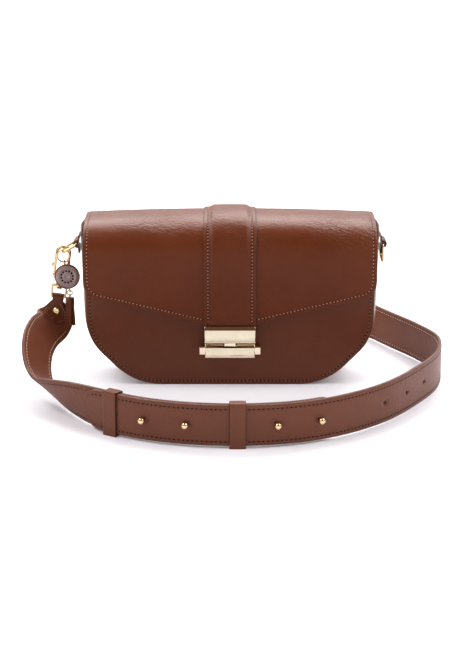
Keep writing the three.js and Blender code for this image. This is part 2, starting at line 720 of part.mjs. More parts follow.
function makeCharm(tip) {
  const charm = new THREE.Group();
  charm.position.set(tip.x, CHARM_Y, tip.z);
  charm.rotation.y = -CHARM_TILT;
  root.add(charm);
  const ringRadius = CHARM_RING.inner + CHARM_RING.wire;
  const ring = new THREE.TorusGeometry(ringRadius, CHARM_RING.wire, 6, 20).rotateX(Math.PI / 2);
  add("charm_ring", ring.translate(0, 0, charmRingZ), gold, charm);
  const { back, front, floor, edge, lip } = DISC;
  const recess = FACE.radius + GAP;
  const cup = new THREE.LatheGeometry([
    [0, back], [DISC_R - edge, back], [DISC_R, back + edge], [DISC_R, front - lip],
    [DISC_R - lip, front], [recess, front], [recess, floor], [0, floor],
  ].map(([r, h]) => new THREE.Vector2(r, h)), 28);
  cup.rotateX(Math.PI).translate(0, 0, discZ);
  add("charm_disc", join([cup, lug(TOP_LUG, topLugZ), lug(LOW_LUG, lowLugZ)]), steel, charm);
  const plate = new THREE.CylinderGeometry(FACE.radius, FACE.radius, FACE.thick, 28);
  add("charm_face", plate.translate(0, FACE.y, discZ), enamel, charm);
}

function makeTassel(tip) {
  const tassel = new THREE.Group();
  tassel.position.set(
    tip.x - lowLugZ * Math.sin(CHARM_TILT),
    CHARM_Y,
    tip.z + lowLugZ * Math.cos(CHARM_TILT),
  );
  tassel.rotation.y = TASSEL_TILT;
  root.add(tassel);
  const link = new THREE.TorusGeometry(TASSEL.link, TASSEL.linkWire, 6, 14).rotateX(Math.PI / 2);
  add("charm_link", link.translate(0, 0, -TASSEL.link), gold, tassel);
  const { capTop, cap, fringe } = TASSEL;
  const { top, waist, end } = TASSEL_R;
  const head = new THREE.CylinderGeometry(top, waist, cap, 14).rotateX(Math.PI / 2);
  head.translate(0, 0, capTop - cap / 2);
  add("tassel_cap", join([head, lug(LOW_LUG, capTop + 2)]), leather, tassel);
  const bundle = new THREE.CylinderGeometry(top, end, fringe, 14).rotateX(Math.PI / 2);
  add("tassel_fringe", bundle.translate(0, 0, capTop - cap - GAP - fringe / 2), leather, tassel);
}

// ---------- strap ----------
const strapLine = new THREE.CatmullRomCurve3(STRAP_ROUTE.map(([p]) => vec(...p)), false, "centripetal");
const strapUp = new THREE.CatmullRomCurve3(STRAP_ROUTE.map(([, w]) => vec(...w)), false, "catmullrom", 0.5);
const LENGTH_STEPS = 1000;
const strapLengths = (() => {
  const sums = [0];
  for (let k = 1; k <= LENGTH_STEPS; k += 1) {
    const a = strapLine.getPoint((k - 1) / LENGTH_STEPS);
    sums.push(sums[k - 1] + a.distanceTo(strapLine.getPoint(k / LENGTH_STEPS)));
  }
  return sums;
})();
const STRAP_LENGTH = strapLengths[LENGTH_STEPS];

// Frame of the strap at a distance along it: place, along, up its width, and outwards.
function strapFrame(distance) {
  let k = strapLengths.findIndex((sum) => sum >= distance);
  if (k < 1) k = distance <= 0 ? 1 : LENGTH_STEPS;
  const part = (distance - strapLengths[k - 1]) / (strapLengths[k] - strapLengths[k - 1]);
  const t = THREE.MathUtils.clamp((k - 1 + part) / LENGTH_STEPS, 0, 1);
  const place = strapLine.getPoint(t);
  const along = strapLine.getTangent(t);
  const up = strapUp.getPoint(t);
  up.addScaledVector(along, -up.dot(along)).normalize();
  return { place, along, up, out: along.clone().cross(up) };
}

function strapAtX(x) {
  let low = 0.15 * STRAP_LENGTH;
  let high = 0.6 * STRAP_LENGTH;
  for (let k = 0; k < 40; k += 1) {
    const middle = (low + high) / 2;
    if (strapFrame(middle).place.x < x) low = middle;
    else high = middle;
  }
  return low;
}

function strapPoint(frame, across, lift) {
  return frame.place.clone().addScaledVector(frame.up, across).addScaledVector(frame.out, lift);
}

// A flat strap between two distances, at a lift off the middle line, with its own outline.
function strapRibbon(distances, halfWidthAt, low, high) {
  const grid = (lift) => distances.map((distance) => {
    const frame = strapFrame(distance);
    const half = halfWidthAt(distance);
    return [strapPoint(frame, -half, lift), strapPoint(frame, half, lift)];
  });
  return shell(grid(high), grid(low));
}

function spread(from, to, step) {
  const count = Math.ceil(Math.abs(to - from) / step);
  return Array.from({ length: count + 1 }, (unused, k) => from + ((to - from) * k) / count);
}

// Distances with close steps near a rounded or pointed end.
function endSteps(end, inward) {
  return [0, 1.2, 3.5, 7, 11.5, 17].map((step) => end + inward * step);
}

// Close steps where the strap leaves a hook, shared by the end tab that lies on it.
const HOOK_STEPS = [1.2, 3.5, 6, 8.5, 11, 13.5, 16, 18.5, 21, 24];

function tipHalf(distance) {
  const inside = Math.min(STRAP_HALF, distance + 3);
  return Math.sqrt(STRAP_HALF ** 2 - (STRAP_HALF - inside) ** 2);
}

function shoulderHalf(distance) {
  return THREE.MathUtils.lerp(SHOULDER.half, STRAP_HALF, Math.min(1, distance / SHOULDER.long));
}

function studHole(distance, radius, slit) {
  const frame = strapFrame(distance);
  const hole = rod(strapPoint(frame, 0, -8), strapPoint(frame, 0, 8), radius, 10);
  if (!slit) return hole;
  const cutBox = new THREE.BoxGeometry(KEYHOLE.slit, KEYHOLE.width, 16);
  cutBox.translate(KEYHOLE.slit / 2 + 0.5, 0, 0);
  const axes = new THREE.Matrix4().makeBasis(frame.along, frame.up, frame.out);
  cutBox.applyMatrix4(axes.setPosition(frame.place));
  return join([hole, cutBox]);
}

const PLY_LIFT = (STRAP_THICK + GAP) / 2;
const LONG_START = strapAtX(LONG_TIP_X);
const SHORT_END = strapAtX(SHORT_TIP_X);

function makeStraps() {
  const half = STRAP_THICK / 2;
  const shortSteps = [
    0,
    ...HOOK_STEPS,
    ...spread(28, SHORT_END - 24, 9.5),
    ...endSteps(SHORT_END, -1).reverse(),
  ];
  const shortHalf = (d) => Math.min(shoulderHalf(d), tipHalf(SHORT_END - d));
  const shortBody = strapRibbon(shortSteps, shortHalf, -PLY_LIFT - half, -PLY_LIFT + half);
  add("strap_short", cut(shortBody, STUD_X.map((x) => studHole(strapAtX(x), STUD_HOLE, false))), strapLeather);
  const longSteps = [
    ...endSteps(LONG_START, 1),
    ...spread(LONG_START + 24, STRAP_LENGTH - 30, 9.5),
    ...[0, ...HOOK_STEPS].map((step) => STRAP_LENGTH - step).reverse(),
  ];
  const longHalf = (d) => Math.min(tipHalf(d - LONG_START), shoulderHalf(STRAP_LENGTH - d));
  const longBody = strapRibbon(longSteps, longHalf, PLY_LIFT - half, PLY_LIFT + half);
  const lastStud = strapAtX(STUD_X[STUD_X.length - 1]);
  const holes = [
    ...STUD_X.map((x) => studHole(strapAtX(x), KEYHOLE.radius, true)),
    ...FREE_HOLE_ARC.map((d) => studHole(lastStud + FREE_HOLE_START + d, KEYHOLE.radius, true)),
  ];
  add("strap_long", cut(longBody, holes), strapLeather);
}

function makeStuds() {
  const inner = PLY_LIFT + STRAP_THICK / 2;
  STUD_X.forEach((x, i) => {
    const frame = strapFrame(strapAtX(x));
    const profile = [
      [0, -inner - 1.1], [3.4, -inner - 1.1], [3.4, -inner - GAP], [1.2, -inner - GAP],
      [1.2, inner + 0.4], [2.2, inner + 1.1], [3, inner + 3.2], [2.6, inner + 4.8],
      [1.5, inner + 6], [0, inner + 6.4],
    ];
    const stud = new THREE.LatheGeometry(profile.map(([r, h]) => new THREE.Vector2(r, h)), 14);
    const axes = new THREE.Matrix4().makeBasis(frame.along.clone().negate(), frame.out, frame.up);
    stud.applyMatrix4(axes.setPosition(frame.place));
    add(`strap_stud_${i + 1}`, stud, gold);
  });
}

// Leather loop round both straps.
function makeKeepers() {
  const tall = STRAP_HALF + GAP + 0.1;
  const deep = PLY_LIFT + STRAP_THICK / 2 + KEEPER.room;
  const corners = (y, z) => [[-y, -z], [y, -z], [y, z], [-y, z]].map(([a, b]) => new THREE.Vector2(a, b));
  for (const [name, x] of [["keeper_left", KEEPER_X[0]], ["keeper_middle", KEEPER_X[1]]]) {
    const shape = new THREE.Shape(corners(deep + KEEPER.wall, tall + KEEPER.wall));
    shape.holes.push(new THREE.Path(corners(deep, tall).reverse()));
    const loop = new THREE.ExtrudeGeometry(shape, { depth: KEEPER.wide, bevelEnabled: false });
    loop.translate(0, 0, -KEEPER.wide / 2);
    const frame = strapFrame(strapAtX(x));
    const axes = new THREE.Matrix4().makeBasis(frame.out, frame.up, frame.along.clone().negate());
    loop.applyMatrix4(axes.setPosition(frame.place));
    add(name, loop, strapLeather);
  }
}

// Leather end tab: from one face of a strap's ply, round the swivel ring's bar and down the
// other face. The ply's lift is its distance off the strap's middle line.
function makeEndTab(name, frameAt, ply) {
  const thick = TAB_THICK;
  const wrap = STRAP_THICK / 2 + TAB_GAP + thick / 2;
  const bend = 5;
  const rows = [
    { at: bend, lift: wrap, half: 5.2 },
    { at: 0.5, lift: wrap, half: bend },
  ];
  for (let k = 1; k < 6; k += 1) {
    const turn = (Math.PI * k) / 6;
    rows.push({ at: -TAB_REACH - wrap * Math.sin(turn), lift: wrap * Math.cos(turn), half: bend });
  }
  const last = HOOK_STEPS[HOOK_STEPS.length - 1];
  for (const at of HOOK_STEPS) {
    const half = Math.min(4.7 + 0.55 * at, 10.2, 1.2 + 1.5 * (last - at));
    rows.push({ at, lift: -wrap, half });
  }
  const grid = (sign) => rows.map((row, i) => {
    const before = rows[Math.max(0, i - 1)];
    const after = rows[Math.min(rows.length - 1, i + 1)];
    const run = new THREE.Vector2(after.at - before.at, after.lift - before.lift).normalize();
    const at = row.at + (sign * thick * run.y) / 2;
    const lift = row.lift - (sign * thick * run.x) / 2;
    const frame = frameAt(at);
    return [-row.half, row.half].map((across) => strapPoint(frame, across, ply + lift));
  });
  add(name, shell(grid(1), grid(-1)), leather);
}

// Domed rivet on the inner face of an end tab.
function makeTabRivet(name, frame, ply) {
  const face = STRAP_THICK / 2 + TAB_GAP + TAB_THICK + 1.1;
  const profile = [[0, 0], [3.4, 0], [3.1, 0.9], [2, 1.6], [0, 1.8]];
  const dome = new THREE.LatheGeometry(profile.map(([r, h]) => new THREE.Vector2(r, h)), 14);
  const axes = new THREE.Matrix4().makeBasis(frame.along, frame.out.clone().negate(), frame.up);
  dome.applyMatrix4(axes.setPosition(strapPoint(frame, 0, ply - face)));
  add(name, dome, gold);
}

// Frames that run straight on past either end of the strap.
function startFrame(distance) {
  const frame = strapFrame(Math.max(distance, 0));
  if (distance < 0) frame.place.addScaledVector(frame.along, distance);
  return frame;
}

function endFrame(distance) {
  const frame = strapFrame(STRAP_LENGTH - Math.max(distance, 0));
  if (distance < 0) frame.place.addScaledVector(frame.along, -distance);
  return frame;
}

function makeStrapEnds() {
  makeEndTab("left_end_tab", startFrame, -PLY_LIFT);
  makeTabRivet("left_tab_rivet", strapFrame(TAB_RIVET_AT), -PLY_LIFT);
  makeEndTab("right_end_tab", endFrame, PLY_LIFT);
  makeTabRivet("right_tab_rivet", strapFrame(STRAP_LENGTH - TAB_RIVET_AT), PLY_LIFT);
}

function makeHardware() {
  makeRingTab("left_ring_tab", -1);
  makeRingTab("right_ring_tab", 1);
  makeRing("left_ring", -1, LEFT_RING_TURN);
  makeRing("right_ring", 1, 0);
  const tip = vec(
    -BAR_X - RING_DROP * Math.sin(LEFT_RING_TURN),
    0,
    BAR_Z - RING_DROP * Math.cos(LEFT_RING_TURN),
  );
  const leftHook = new THREE.Group();
  leftHook.rotation.y = HOOK_LEAN;
  const hang = RING_WIRE + GAP - (HOOK.half - HOOK.wall) - HOOK.arch;
  leftHook.position.set(tip.x + hang * Math.sin(HOOK_LEAN), HOOK_Y, tip.z + hang * Math.cos(HOOK_LEAN));
  root.add(leftHook);
  makeHook("left", leftHook);
  makeSwivelRing("left", leftHook);
  makeCharm(tip);
  makeTassel(tip);
  const end = endFrame(-TAB_REACH);
  const rightHook = new THREE.Group();
  const away = end.along.clone();
  const turned = new THREE.Matrix4().makeBasis(end.up.clone().negate(), end.out.clone().negate(), away);
  const bar = strapPoint(end, 0, PLY_LIFT);
  rightHook.applyMatrix4(turned.setPosition(bar.addScaledVector(away, -SWIVEL.end - SWIVEL.wire / 2)));
  root.add(rightHook);
  makeHook("right", rightHook);
  makeSwivelRing("right", rightHook);
}

makeBody();
makeFlap();
makeStrip();
makeClasp();
makeLock();
makeHardware();
makeStraps();
makeStuds();
makeKeepers();
makeStrapEnds();

export default root;
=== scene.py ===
"""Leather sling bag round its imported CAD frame: studio, materials, and the surfaces of the
bag, flap, clasp, rings, hooks, charm and strap. Shapes are worked out in millimetres."""
import math
import bmesh
import bpy
import numpy as np
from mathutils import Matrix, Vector


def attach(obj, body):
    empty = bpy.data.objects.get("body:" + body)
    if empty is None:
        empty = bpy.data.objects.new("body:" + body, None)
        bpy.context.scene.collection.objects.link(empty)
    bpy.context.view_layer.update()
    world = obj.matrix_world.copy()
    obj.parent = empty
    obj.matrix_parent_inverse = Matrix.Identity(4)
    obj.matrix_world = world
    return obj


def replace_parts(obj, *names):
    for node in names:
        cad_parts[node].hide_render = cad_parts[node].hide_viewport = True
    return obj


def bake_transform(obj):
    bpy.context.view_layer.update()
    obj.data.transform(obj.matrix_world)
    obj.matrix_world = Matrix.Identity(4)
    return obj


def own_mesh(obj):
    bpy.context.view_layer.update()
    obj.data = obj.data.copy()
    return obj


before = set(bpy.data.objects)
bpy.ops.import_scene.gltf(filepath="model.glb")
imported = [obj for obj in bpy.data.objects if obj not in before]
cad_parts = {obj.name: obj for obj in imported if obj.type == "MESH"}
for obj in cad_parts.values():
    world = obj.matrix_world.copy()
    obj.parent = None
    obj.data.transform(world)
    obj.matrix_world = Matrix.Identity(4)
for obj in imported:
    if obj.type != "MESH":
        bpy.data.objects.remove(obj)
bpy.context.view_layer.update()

MM = 0.001

# ---------- the bag's driving sizes, in mm, as in the CAD source ----------
HALF_WIDTH, HALF_DEPTH = 132.0, 36.5
BASE_HALF, CORNER_X, CORNER_Z = 87.0, 129.5, 42.5
BASE_FILLET, SIDE_FILLET = 60.0, 45.0
FRONT_TOP, BACK_TOP, GUSSET_TOP = 125.0, 133.0, 142.0
LEATHER, LINING, GAP, SIDE_BULGE = 2.0, 0.8, 0.3, 4.5
FLAP_SEAM_Z, FLAP_CROWN, FLAP_TIP_Z = 116.0, 3.2, 59.3
HEM_ANGLE = 13.6
FLAP_SLOPE = math.tan(math.radians(HEM_ANGLE))
FLAP_CORNER, TONGUE_HALF, TONGUE_Z, TIP_X = 16.0, 21.5, 44.0, 24.0
STRIP_HALF, STRIP_END_Z = 23.5, 58.3
BAR_X, BAR_Z, TAB_HALF = 139.4, 125.5, 9.0
RING_WIRE, RING_HALF, RING_CORNER, RING_DROP = 1.3, 11.2, 2.6, 15.5
LEFT_RING_TURN = math.radians(60)
HOOK = dict(half=7.5, wall=3.0, arch=-4.0, eye_end=-25.0, base=-33.0, gate_low=-22.0, y=1.0)
HOOK_LEAN = math.radians(8)
SWIVEL = dict(half=7.6, top=-33.6, bar=3.0, end=-47.4, wire=2.3)
CHARM_Y, CHARM_TILT, DISC_R = -9.0, math.radians(9), 11.75
CHARM_RING, CHARM_WIRE = 5.0, 0.7
STRAP_HALF, STRAP_THICK, STRAP_Z = 17.5, 3.4, 19.5
STUD_X, FREE_HOLES, KEEPER_X = (-71, -36, 38, 73), (71, 106, 141), (-98.5, 6)
LONG_TIP_X, SHORT_TIP_X = -121, 88
PLY_LIFT, BAR_PAST_END = (STRAP_THICK + GAP) / 2, 4.4

# ---------- sizes of the surface alone; the strip is flatter than its CAD solid ----------
STITCH_INSET, STRIP_INSET = 3.5, 3.6
STRIP_THICK, STRIP_PAD, STRIP_DOME = 1.3, 2.1, 0.45
TASSEL_STRIPS, TASSEL_LEAN = 11, math.radians(1)

FLAP_CURVE = (
    (38.8, 110), (38.8, 116), (38.8, 134), (36.8, 142.4), (29, 147.8), (14, 149.3), (-4, 149.1),
    (-20, 146.2), (-32, 139.8), (-39, 130.2), (-41.6, 119), (-42, 106), (-42, 80), (-42, 40),
)
STRAP_RISE = (
    ((-159.7, 2.85, 68.7), (-0.99, 0, 0.14)), ((-161.2, 2.5, 58.5), (-0.98, -0.03, 0.2)),
    ((-164.8, -5.5, 48.5), (-0.86, -0.22, 0.46)), ((-171.5, -25, 45.5), (-0.71, -0.4, 0.58)),
    ((-174.8, -46, 41), (-0.68, -0.37, 0.63)), ((-174.5, -66, 31), (-0.66, -0.33, 0.68)),
    ((-169.5, -86, 21.5), (-0.66, -0.33, 0.68)), ((-161, -104.5, 16), (-0.62, -0.34, 0.71)),
    ((-148.5, -123, 17.2), (-0.42, -0.28, 0.86)), ((-134, -140.5, 18.8), (-0.22, -0.18, 0.96)),
    ((-119, -156, 19.4), (-0.07, -0.08, 0.99)),
)
STRAP_FLOOR = (
    (-100, -171.5), (-72, -188), (-36, -200), (6, -204), (50, -198), (92, -178), (130, -145),
    (162, -99), (185, -52), (191, -5), (176, 37), (155, 76), (135, 112), (104, 142), (60, 157),
    (15, 160), (-30, 156), (-62, 150),
)


# ---------- small maths ----------
def unit(v):
    v = np.asarray(v, float)
    return v / np.maximum(np.linalg.norm(v, axis=-1, keepdims=True), 1e-9)


def smoothstep(x, low, high):
    t = np.clip((np.asarray(x, float) - low) / (high - low), 0, 1)
    return t * t * (3 - 2 * t)


def spline(points, count, centripetal=False):
    """Catmull-Rom line through the points, uniform or centripetal, with mirrored ends."""
    p = np.asarray(points, float)
    p = np.vstack([2 * p[0] - p[1], p, 2 * p[-1] - p[-2]])
    f = np.linspace(0, len(p) - 3, count)
    i = np.minimum(f.astype(int), len(p) - 4)
    w = (f - i)[:, None]
    a, b, c, d = p[i], p[i + 1], p[i + 2], p[i + 3]
    if centripetal:
        gap = lambda u, v: np.sqrt(np.linalg.norm(v - u, axis=1))[:, None]
        e, g, h = gap(a, b), gap(b, c), gap(c, d)
        start = ((b - a) / e - (c - a) / (e + g) + (c - b) / g) * g
        end = ((c - b) / g - (d - b) / (g + h) + (d - c) / h) * g
    else:
        start, end = (c - a) / 2, (d - b) / 2
    return (
        b + start * w + (3 * (c - b) - 2 * start - end) * w**2
        + (2 * (b - c) + start + end) * w**3
    )


def lengths(points):
    steps = np.linalg.norm(np.diff(points, axis=0), axis=1)
    return np.concatenate([[0], np.cumsum(steps)])


def columns_of(s, where, table):
    return np.stack([np.interp(s, where, table[:, k]) for k in range(table.shape[1])], -1)


def edge_list(*insets):
    return np.array(insets, float)


# ---------- meshes ----------
def make(name, verts, faces, materials, slots=None, body=None, sharp=50):
    """A mesh object from points in millimetres, with its faces turned outwards."""
    mesh = bpy.data.meshes.new(name)
    points = (np.asarray(verts, float) * MM).tolist()
    mesh.from_pydata(points, [], [list(map(int, f)) for f in faces])
    for material in materials:
        mesh.materials.append(material)
    if slots is not None:
        mesh.polygons.foreach_set("material_index", np.asarray(slots, int))
    built = bmesh.new()
    built.from_mesh(mesh)
    bmesh.ops.recalc_face_normals(built, faces=built.faces)
    built.to_mesh(mesh)
    built.free()
    mesh.polygons.foreach_set("use_smooth", [True] * len(mesh.polygons))
    mesh.set_sharp_from_angle(angle=math.radians(sharp))
    obj = bpy.data.objects.new(name, mesh)
    bpy.context.collection.objects.link(obj)
    if body:
        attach(obj, body)
    return obj


def grid_faces(rows, cols, base=0, close_rows=False, close_cols=False):
    i, j = np.meshgrid(
        np.arange(rows if close_rows else rows - 1),
        np.arange(cols if close_cols else cols - 1), indexing="ij",
    )
    i2, j2 = (i + 1) % rows, (j + 1) % cols
    quads = np.stack([i * cols + j, i * cols + j2, i2 * cols + j2, i2 * cols + j], -1)
    return (quads.reshape(-1, 4) + base).tolist()


def slab(name, outer, inner, materials, body=None, bulge=0.35, steps=5):
    """A closed leather sheet between two grids, with a rounded rim. The materials are those
    of the outer face, the rim and the inner face."""
    rows, cols = outer.shape[:2]
    count = rows * cols
    index = np.arange(count).reshape(rows, cols)
    loop = np.concatenate([index[0, :-1], index[:-1, -1], index[-1, :0:-1], index[:0:-1, 0]])
    top, low = outer.reshape(-1, 3)[loop], inner.reshape(-1, 3)[loop]
    middle, thick = (top + low) / 2, top - low
    out = unit(np.cross(np.roll(middle, -1, 0) - np.roll(middle, 1, 0), thick))
    if np.sum(out * (middle - middle.mean(0))) < 0:
        out = -out
    rings = [loop]
    verts = [outer.reshape(-1, 3), inner.reshape(-1, 3)]
    for k in range(1, steps):
        turn = math.pi * k / steps
        verts.append(middle + math.cos(turn) * thick / 2 + math.sin(turn) * bulge * out)
        rings.append(2 * count + (k - 1) * len(loop) + np.arange(len(loop)))
    rings.append(loop + count)
    front = grid_faces(rows, cols)
    back = grid_faces(rows, cols, count)
    rim = []
    for a, b in zip(rings, rings[1:]):
        rim += np.stack([a, np.roll(a, -1), np.roll(b, -1), b], -1).tolist()
    slots = [0] * len(front) + [2] * len(back) + [1] * len(rim)
    return make(name, np.vstack(verts), front + back + rim, materials, slots, body)


def rings_solid(rings, caps=True):
    """Points and faces of a solid whose sections are closed rings of the same count."""
    rings = np.asarray(rings, float)
    rows, cols = rings.shape[:2]
    faces = grid_faces(rows, cols, close_cols=True)
    if caps:
        faces += [list(range(cols)), list(range((rows - 1) * cols, rows * cols))]
    return rings.reshape(-1, 3), faces


def tube(points, radius, normal=None, closed=False, sides=14):
    """A round wire along points. A flat loop names its plane's normal."""
    p = np.asarray(points, float)
    if closed:
        along = unit(np.roll(p, -1, 0) - np.roll(p, 1, 0))
    else:
        along = unit(np.gradient(p, axis=0))
    flat = np.broadcast_to(np.asarray(normal if normal is not None else (0, 0, 1), float), p.shape)
    side = unit(np.cross(along, flat))
    rise = np.cross(side, along)
    radius = np.broadcast_to(np.asarray(radius, float), len(p))[:, None, None]
    turn = np.linspace(0, 2 * math.pi, sides, endpoint=False)
    ring = np.cos(turn)[None, :, None] * side[:, None] + np.sin(turn)[None, :, None] * rise[:, None]
    rings = p[:, None] + radius * ring
    if closed:
        return rings.reshape(-1, 3), grid_faces(len(p), sides, close_rows=True, close_cols=True)
    return rings_solid(rings)


def lathe(profile, sides=40):
    """A solid turned about +Z from (radius, height) points."""
    turn = np.linspace(0, 2 * math.pi, sides, endpoint=False)
    rings = [
        np.stack([max(r, 0.01) * np.cos(turn), max(r, 0.01) * np.sin(turn), np.full(sides, h)], -1)
        for r, h in profile
    ]
    return rings_solid(rings)


def placed(part, origin, x_axis, y_axis, z_axis):
    """A part's points and faces, carried from its own axes to a place."""
    verts, faces = part
    axes = np.array([x_axis, y_axis, z_axis], float)
    return np.asarray(verts, float) @ axes + np.asarray(origin, float), faces


def joined(parts, slots=None):
    """Several parts as one list of points and faces, with the face slots of each part."""
    verts, faces, marks, base = [], [], [], 0
    for k, (points, polygons) in enumerate(parts):
        verts.append(points)
        faces += [[base + i for i in f] for f in polygons]
        marks += [slots[k] if slots else 0] * len(polygons)
        base += len(points)
    return np.vstack(verts), faces, marks


def cast(outlines, half, bevel):
    """A flat casting from outlines, the first outside and the others holes, standing in the
    XZ plane with its thickness along Y and its edges rounded."""
    curve = bpy.data.curves.new("cast", "CURVE")
    curve.dimensions, curve.fill_mode = "2D", "BOTH"
    curve.extrude, curve.bevel_depth = (half - bevel) * MM, bevel * MM
    curve.bevel_resolution, curve.offset = 3, -bevel * MM
    for outline in outlines:
        line = curve.splines.new("POLY")
        line.points.add(len(outline) - 1)
        for point, (x, z) in zip(line.points, outline):
            point.co = (x * MM, z * MM, 0, 1)
        line.use_cyclic_u = True
    holder = bpy.data.objects.new("cast", curve)
    bpy.context.collection.objects.link(holder)
    mesh = holder.to_mesh()
    built = bmesh.new()
    built.from_mesh(mesh)
    bmesh.ops.remove_doubles(built, verts=built.verts, dist=1e-6)
    verts = np.array([v.co for v in built.verts]) / MM
    faces = [[v.index for v in f.verts] for f in built.faces]
    built.free()
    holder.to_mesh_clear()
    bpy.data.objects.remove(holder)
    return verts[:, [0, 2, 1]] * (1, -1, 1), faces


def arc(cx, cz, radius, start, end, count=12):
    turn = np.radians(np.linspace(start, end, count))
    return [(cx + radius * math.cos(t), cz + radius * math.sin(t)) for t in turn]


def rectangle_loop(half, top, low, corner, steps=8):
    """Points of a rounded rectangle, across and up."""
    loop = arc(half - corner, top - corner, corner, 0, 90, steps)
    loop += arc(-half + corner, top - corner, corner, 90, 180, steps)
    loop += arc(-half + corner, low + corner, corner, 180, 270, steps)
    return loop + arc(half - corner, low + corner, corner, 270, 360, steps)


def leaned(angle):
    """Axes turned by an angle about the bag's depth."""
    c, s = math.cos(angle), math.sin(angle)
    return (c, 0, -s), (0, 1, 0), (s, 0, c)


def drilled(obj, cutters):
    """Cuts closed meshes out of an object and leaves the result as its mesh."""
    verts, faces, _ = joined(cutters)
    tool = make("cutter", verts, faces, obj.data.materials[1:2])
    cut = obj.modifiers.new("holes", "BOOLEAN")
    cut.object, cut.operation, cut.solver = tool, "DIFFERENCE", "EXACT"
    return settle(obj, [tool])


def round_edges(obj, width, angle):
    """Rounds the edges that turn by more than an angle in degrees."""
    bevel = obj.modifiers.new("edges", "BEVEL")
    bevel.width, bevel.segments = width * MM, 4
    bevel.limit_method, bevel.angle_limit = "ANGLE", math.radians(angle)


def settle(obj, tools=()):
    """Makes an object's modifiers part of its mesh."""
    graph = bpy.context.evaluated_depsgraph_get()
    mesh = bpy.data.meshes.new_from_object(obj.evaluated_get(graph))
    obj.modifiers.clear()
    obj.data = mesh
    for tool in tools:
        bpy.data.objects.remove(tool)
    return obj


# ---------- stitching ----------
STITCH_RINGS = (
    (-0.5, 0.25, -0.9), (-0.36, 0.9, 0.1), (0, 1, 0.45), (0.36, 0.9, 0.1), (0.5, 0.25, -0.9),
)


def stitches(name, runs, materials, pitch=3.4, long=2.2, thread=0.42, hole=0.7, body=None):
    """Thread beads with a near-black disc of painted shade for the awl hole between each pair, along
    runs of points and normals.
    """
    parts, slots = [], []
    turn = np.linspace(0, 2 * math.pi, 6, endpoint=False)
    for points, normals in runs:
        s = lengths(points)
        count = max(2, int(s[-1] / pitch))
        at = (np.arange(count) + 0.5) * s[-1] / count
        place = columns_of(at, s, points)
        normal = unit(columns_of(at, s, normals))
        along = unit(columns_of(at + 0.4, s, points) - columns_of(at - 0.4, s, points))
        side = np.cross(normal, along)
        for p, n, t, b in zip(place, normal, along, side):
            rings = [
                p + t * long * f + n * thread * h
                + thread * r * (np.cos(turn)[:, None] * b + np.sin(turn)[:, None] * n)
                for f, r, h in STITCH_RINGS
            ]
            parts.append(rings_solid(rings))
            slots.append(0)
            # A near-black disc between stitches: painted shade for the awl hole.
            eye = p + t * (s[-1] / count) / 2
            disc = [
                eye + n * h + hole * r * (np.cos(turn)[:, None] * b + np.sin(turn)[:, None] * t)
                for r, h in ((0.5, -0.25), (1, 0.02), (0.6, 0.09))
            ]
            parts.append(rings_solid(disc))
            slots.append(1)
    verts, faces, marks = joined(parts, slots)
    return make(name, verts, faces, materials, marks, body)


def relief(inset, drop=0.35, width=1.5, groove=0.2, line=STITCH_INSET):
    """How far a leather face lies below its plane, at a distance in from its edge."""
    rounded = drop * (1 - np.clip(inset / width, 0, 1)) ** 2
    return rounded + groove * np.exp(-(((inset - line) / 0.75) ** 2))


# ---------- materials ----------
class Nodes:
    """Builds one procedural material."""

    def __init__(self, name):
        self.material = bpy.data.materials.new(name)
        self.material.use_nodes = True
        self.tree = self.material.node_tree
        self.shader = self.tree.nodes["Principled BSDF"]
        self.place = self.tree.nodes.new("ShaderNodeTexCoord").outputs["Object"]

    def node(self, kind, links=None, **values):
        made = self.tree.nodes.new(kind)
        for key, value in values.items():
            if key in made.inputs:
                made.inputs[key].default_value = value
            else:
                setattr(made, key, value)
        for key, socket in (links or {}).items():
            self.tree.links.new(socket, made.inputs[key])
        return made

    def turned(self, angles, scale=(1, 1, 1)):
        made = self.node("ShaderNodeMapping", {"Vector": self.place}, vector_type="TEXTURE")
        made.inputs["Rotation"].default_value = [math.radians(a) for a in angles]
        made.inputs["Scale"].default_value = scale
        return made.outputs[0]

    def noise(self, scale, detail=3.0, rough=0.55, vector=None):
        links = {"Vector": vector or self.place}
        made = self.node("ShaderNodeTexNoise", links, Scale=scale, Detail=detail, Roughness=rough)
        return made.outputs["Fac"]

    def ramp(self, socket, low, high, dark=0.0, bright=1.0):
        made = self.node("ShaderNodeMapRange", {"Value": socket})
        made.inputs["From Min"].default_value = low
        made.inputs["From Max"].default_value = high
        made.inputs["To Min"].default_value = dark
        made.inputs["To Max"].default_value = bright
        return made.outputs[0]

    def math(self, kind, a, b):
        made = self.node("ShaderNodeMath", operation=kind)
        for slot, value in enumerate((a, b)):
            if isinstance(value, (int, float)):
                made.inputs[slot].default_value = value
            else:
                self.tree.links.new(value, made.inputs[slot])
        return made.outputs[0]

    def weighed(self, a, share_a, b, share_b):
        first, second = self.math("MULTIPLY", a, share_a), self.math("MULTIPLY", b, share_b)
        return self.math("ADD", first, second)

    def mix(self, share, a, b):
        made = self.node("ShaderNodeMix", data_type="RGBA")
        self.tree.links.new(share, made.inputs["Factor"])
        for slot, value in ((6, a), (7, b)):
            if isinstance(value, tuple):
                made.inputs[slot].default_value = (*value, 1)
            else:
                self.tree.links.new(value, made.inputs[slot])
        return made.outputs[2]

    def bump(self, height, distance, strength=1.0, below=None):
        links = {"Height": height}
        if below is not None:
            links["Normal"] = below
        made = self.node("ShaderNodeBump", links, Distance=distance, Strength=strength)
        return made.outputs[0]

    def set(self, **values):
        for key, value in values.items():
            socket = self.shader.inputs[key.replace("_", " ")]
            if isinstance(value, bpy.types.NodeSocket):
                self.tree.links.new(value, socket)
            else:
                socket.default_value = (*value, 1) if isinstance(value, tuple) else value
        return self.material


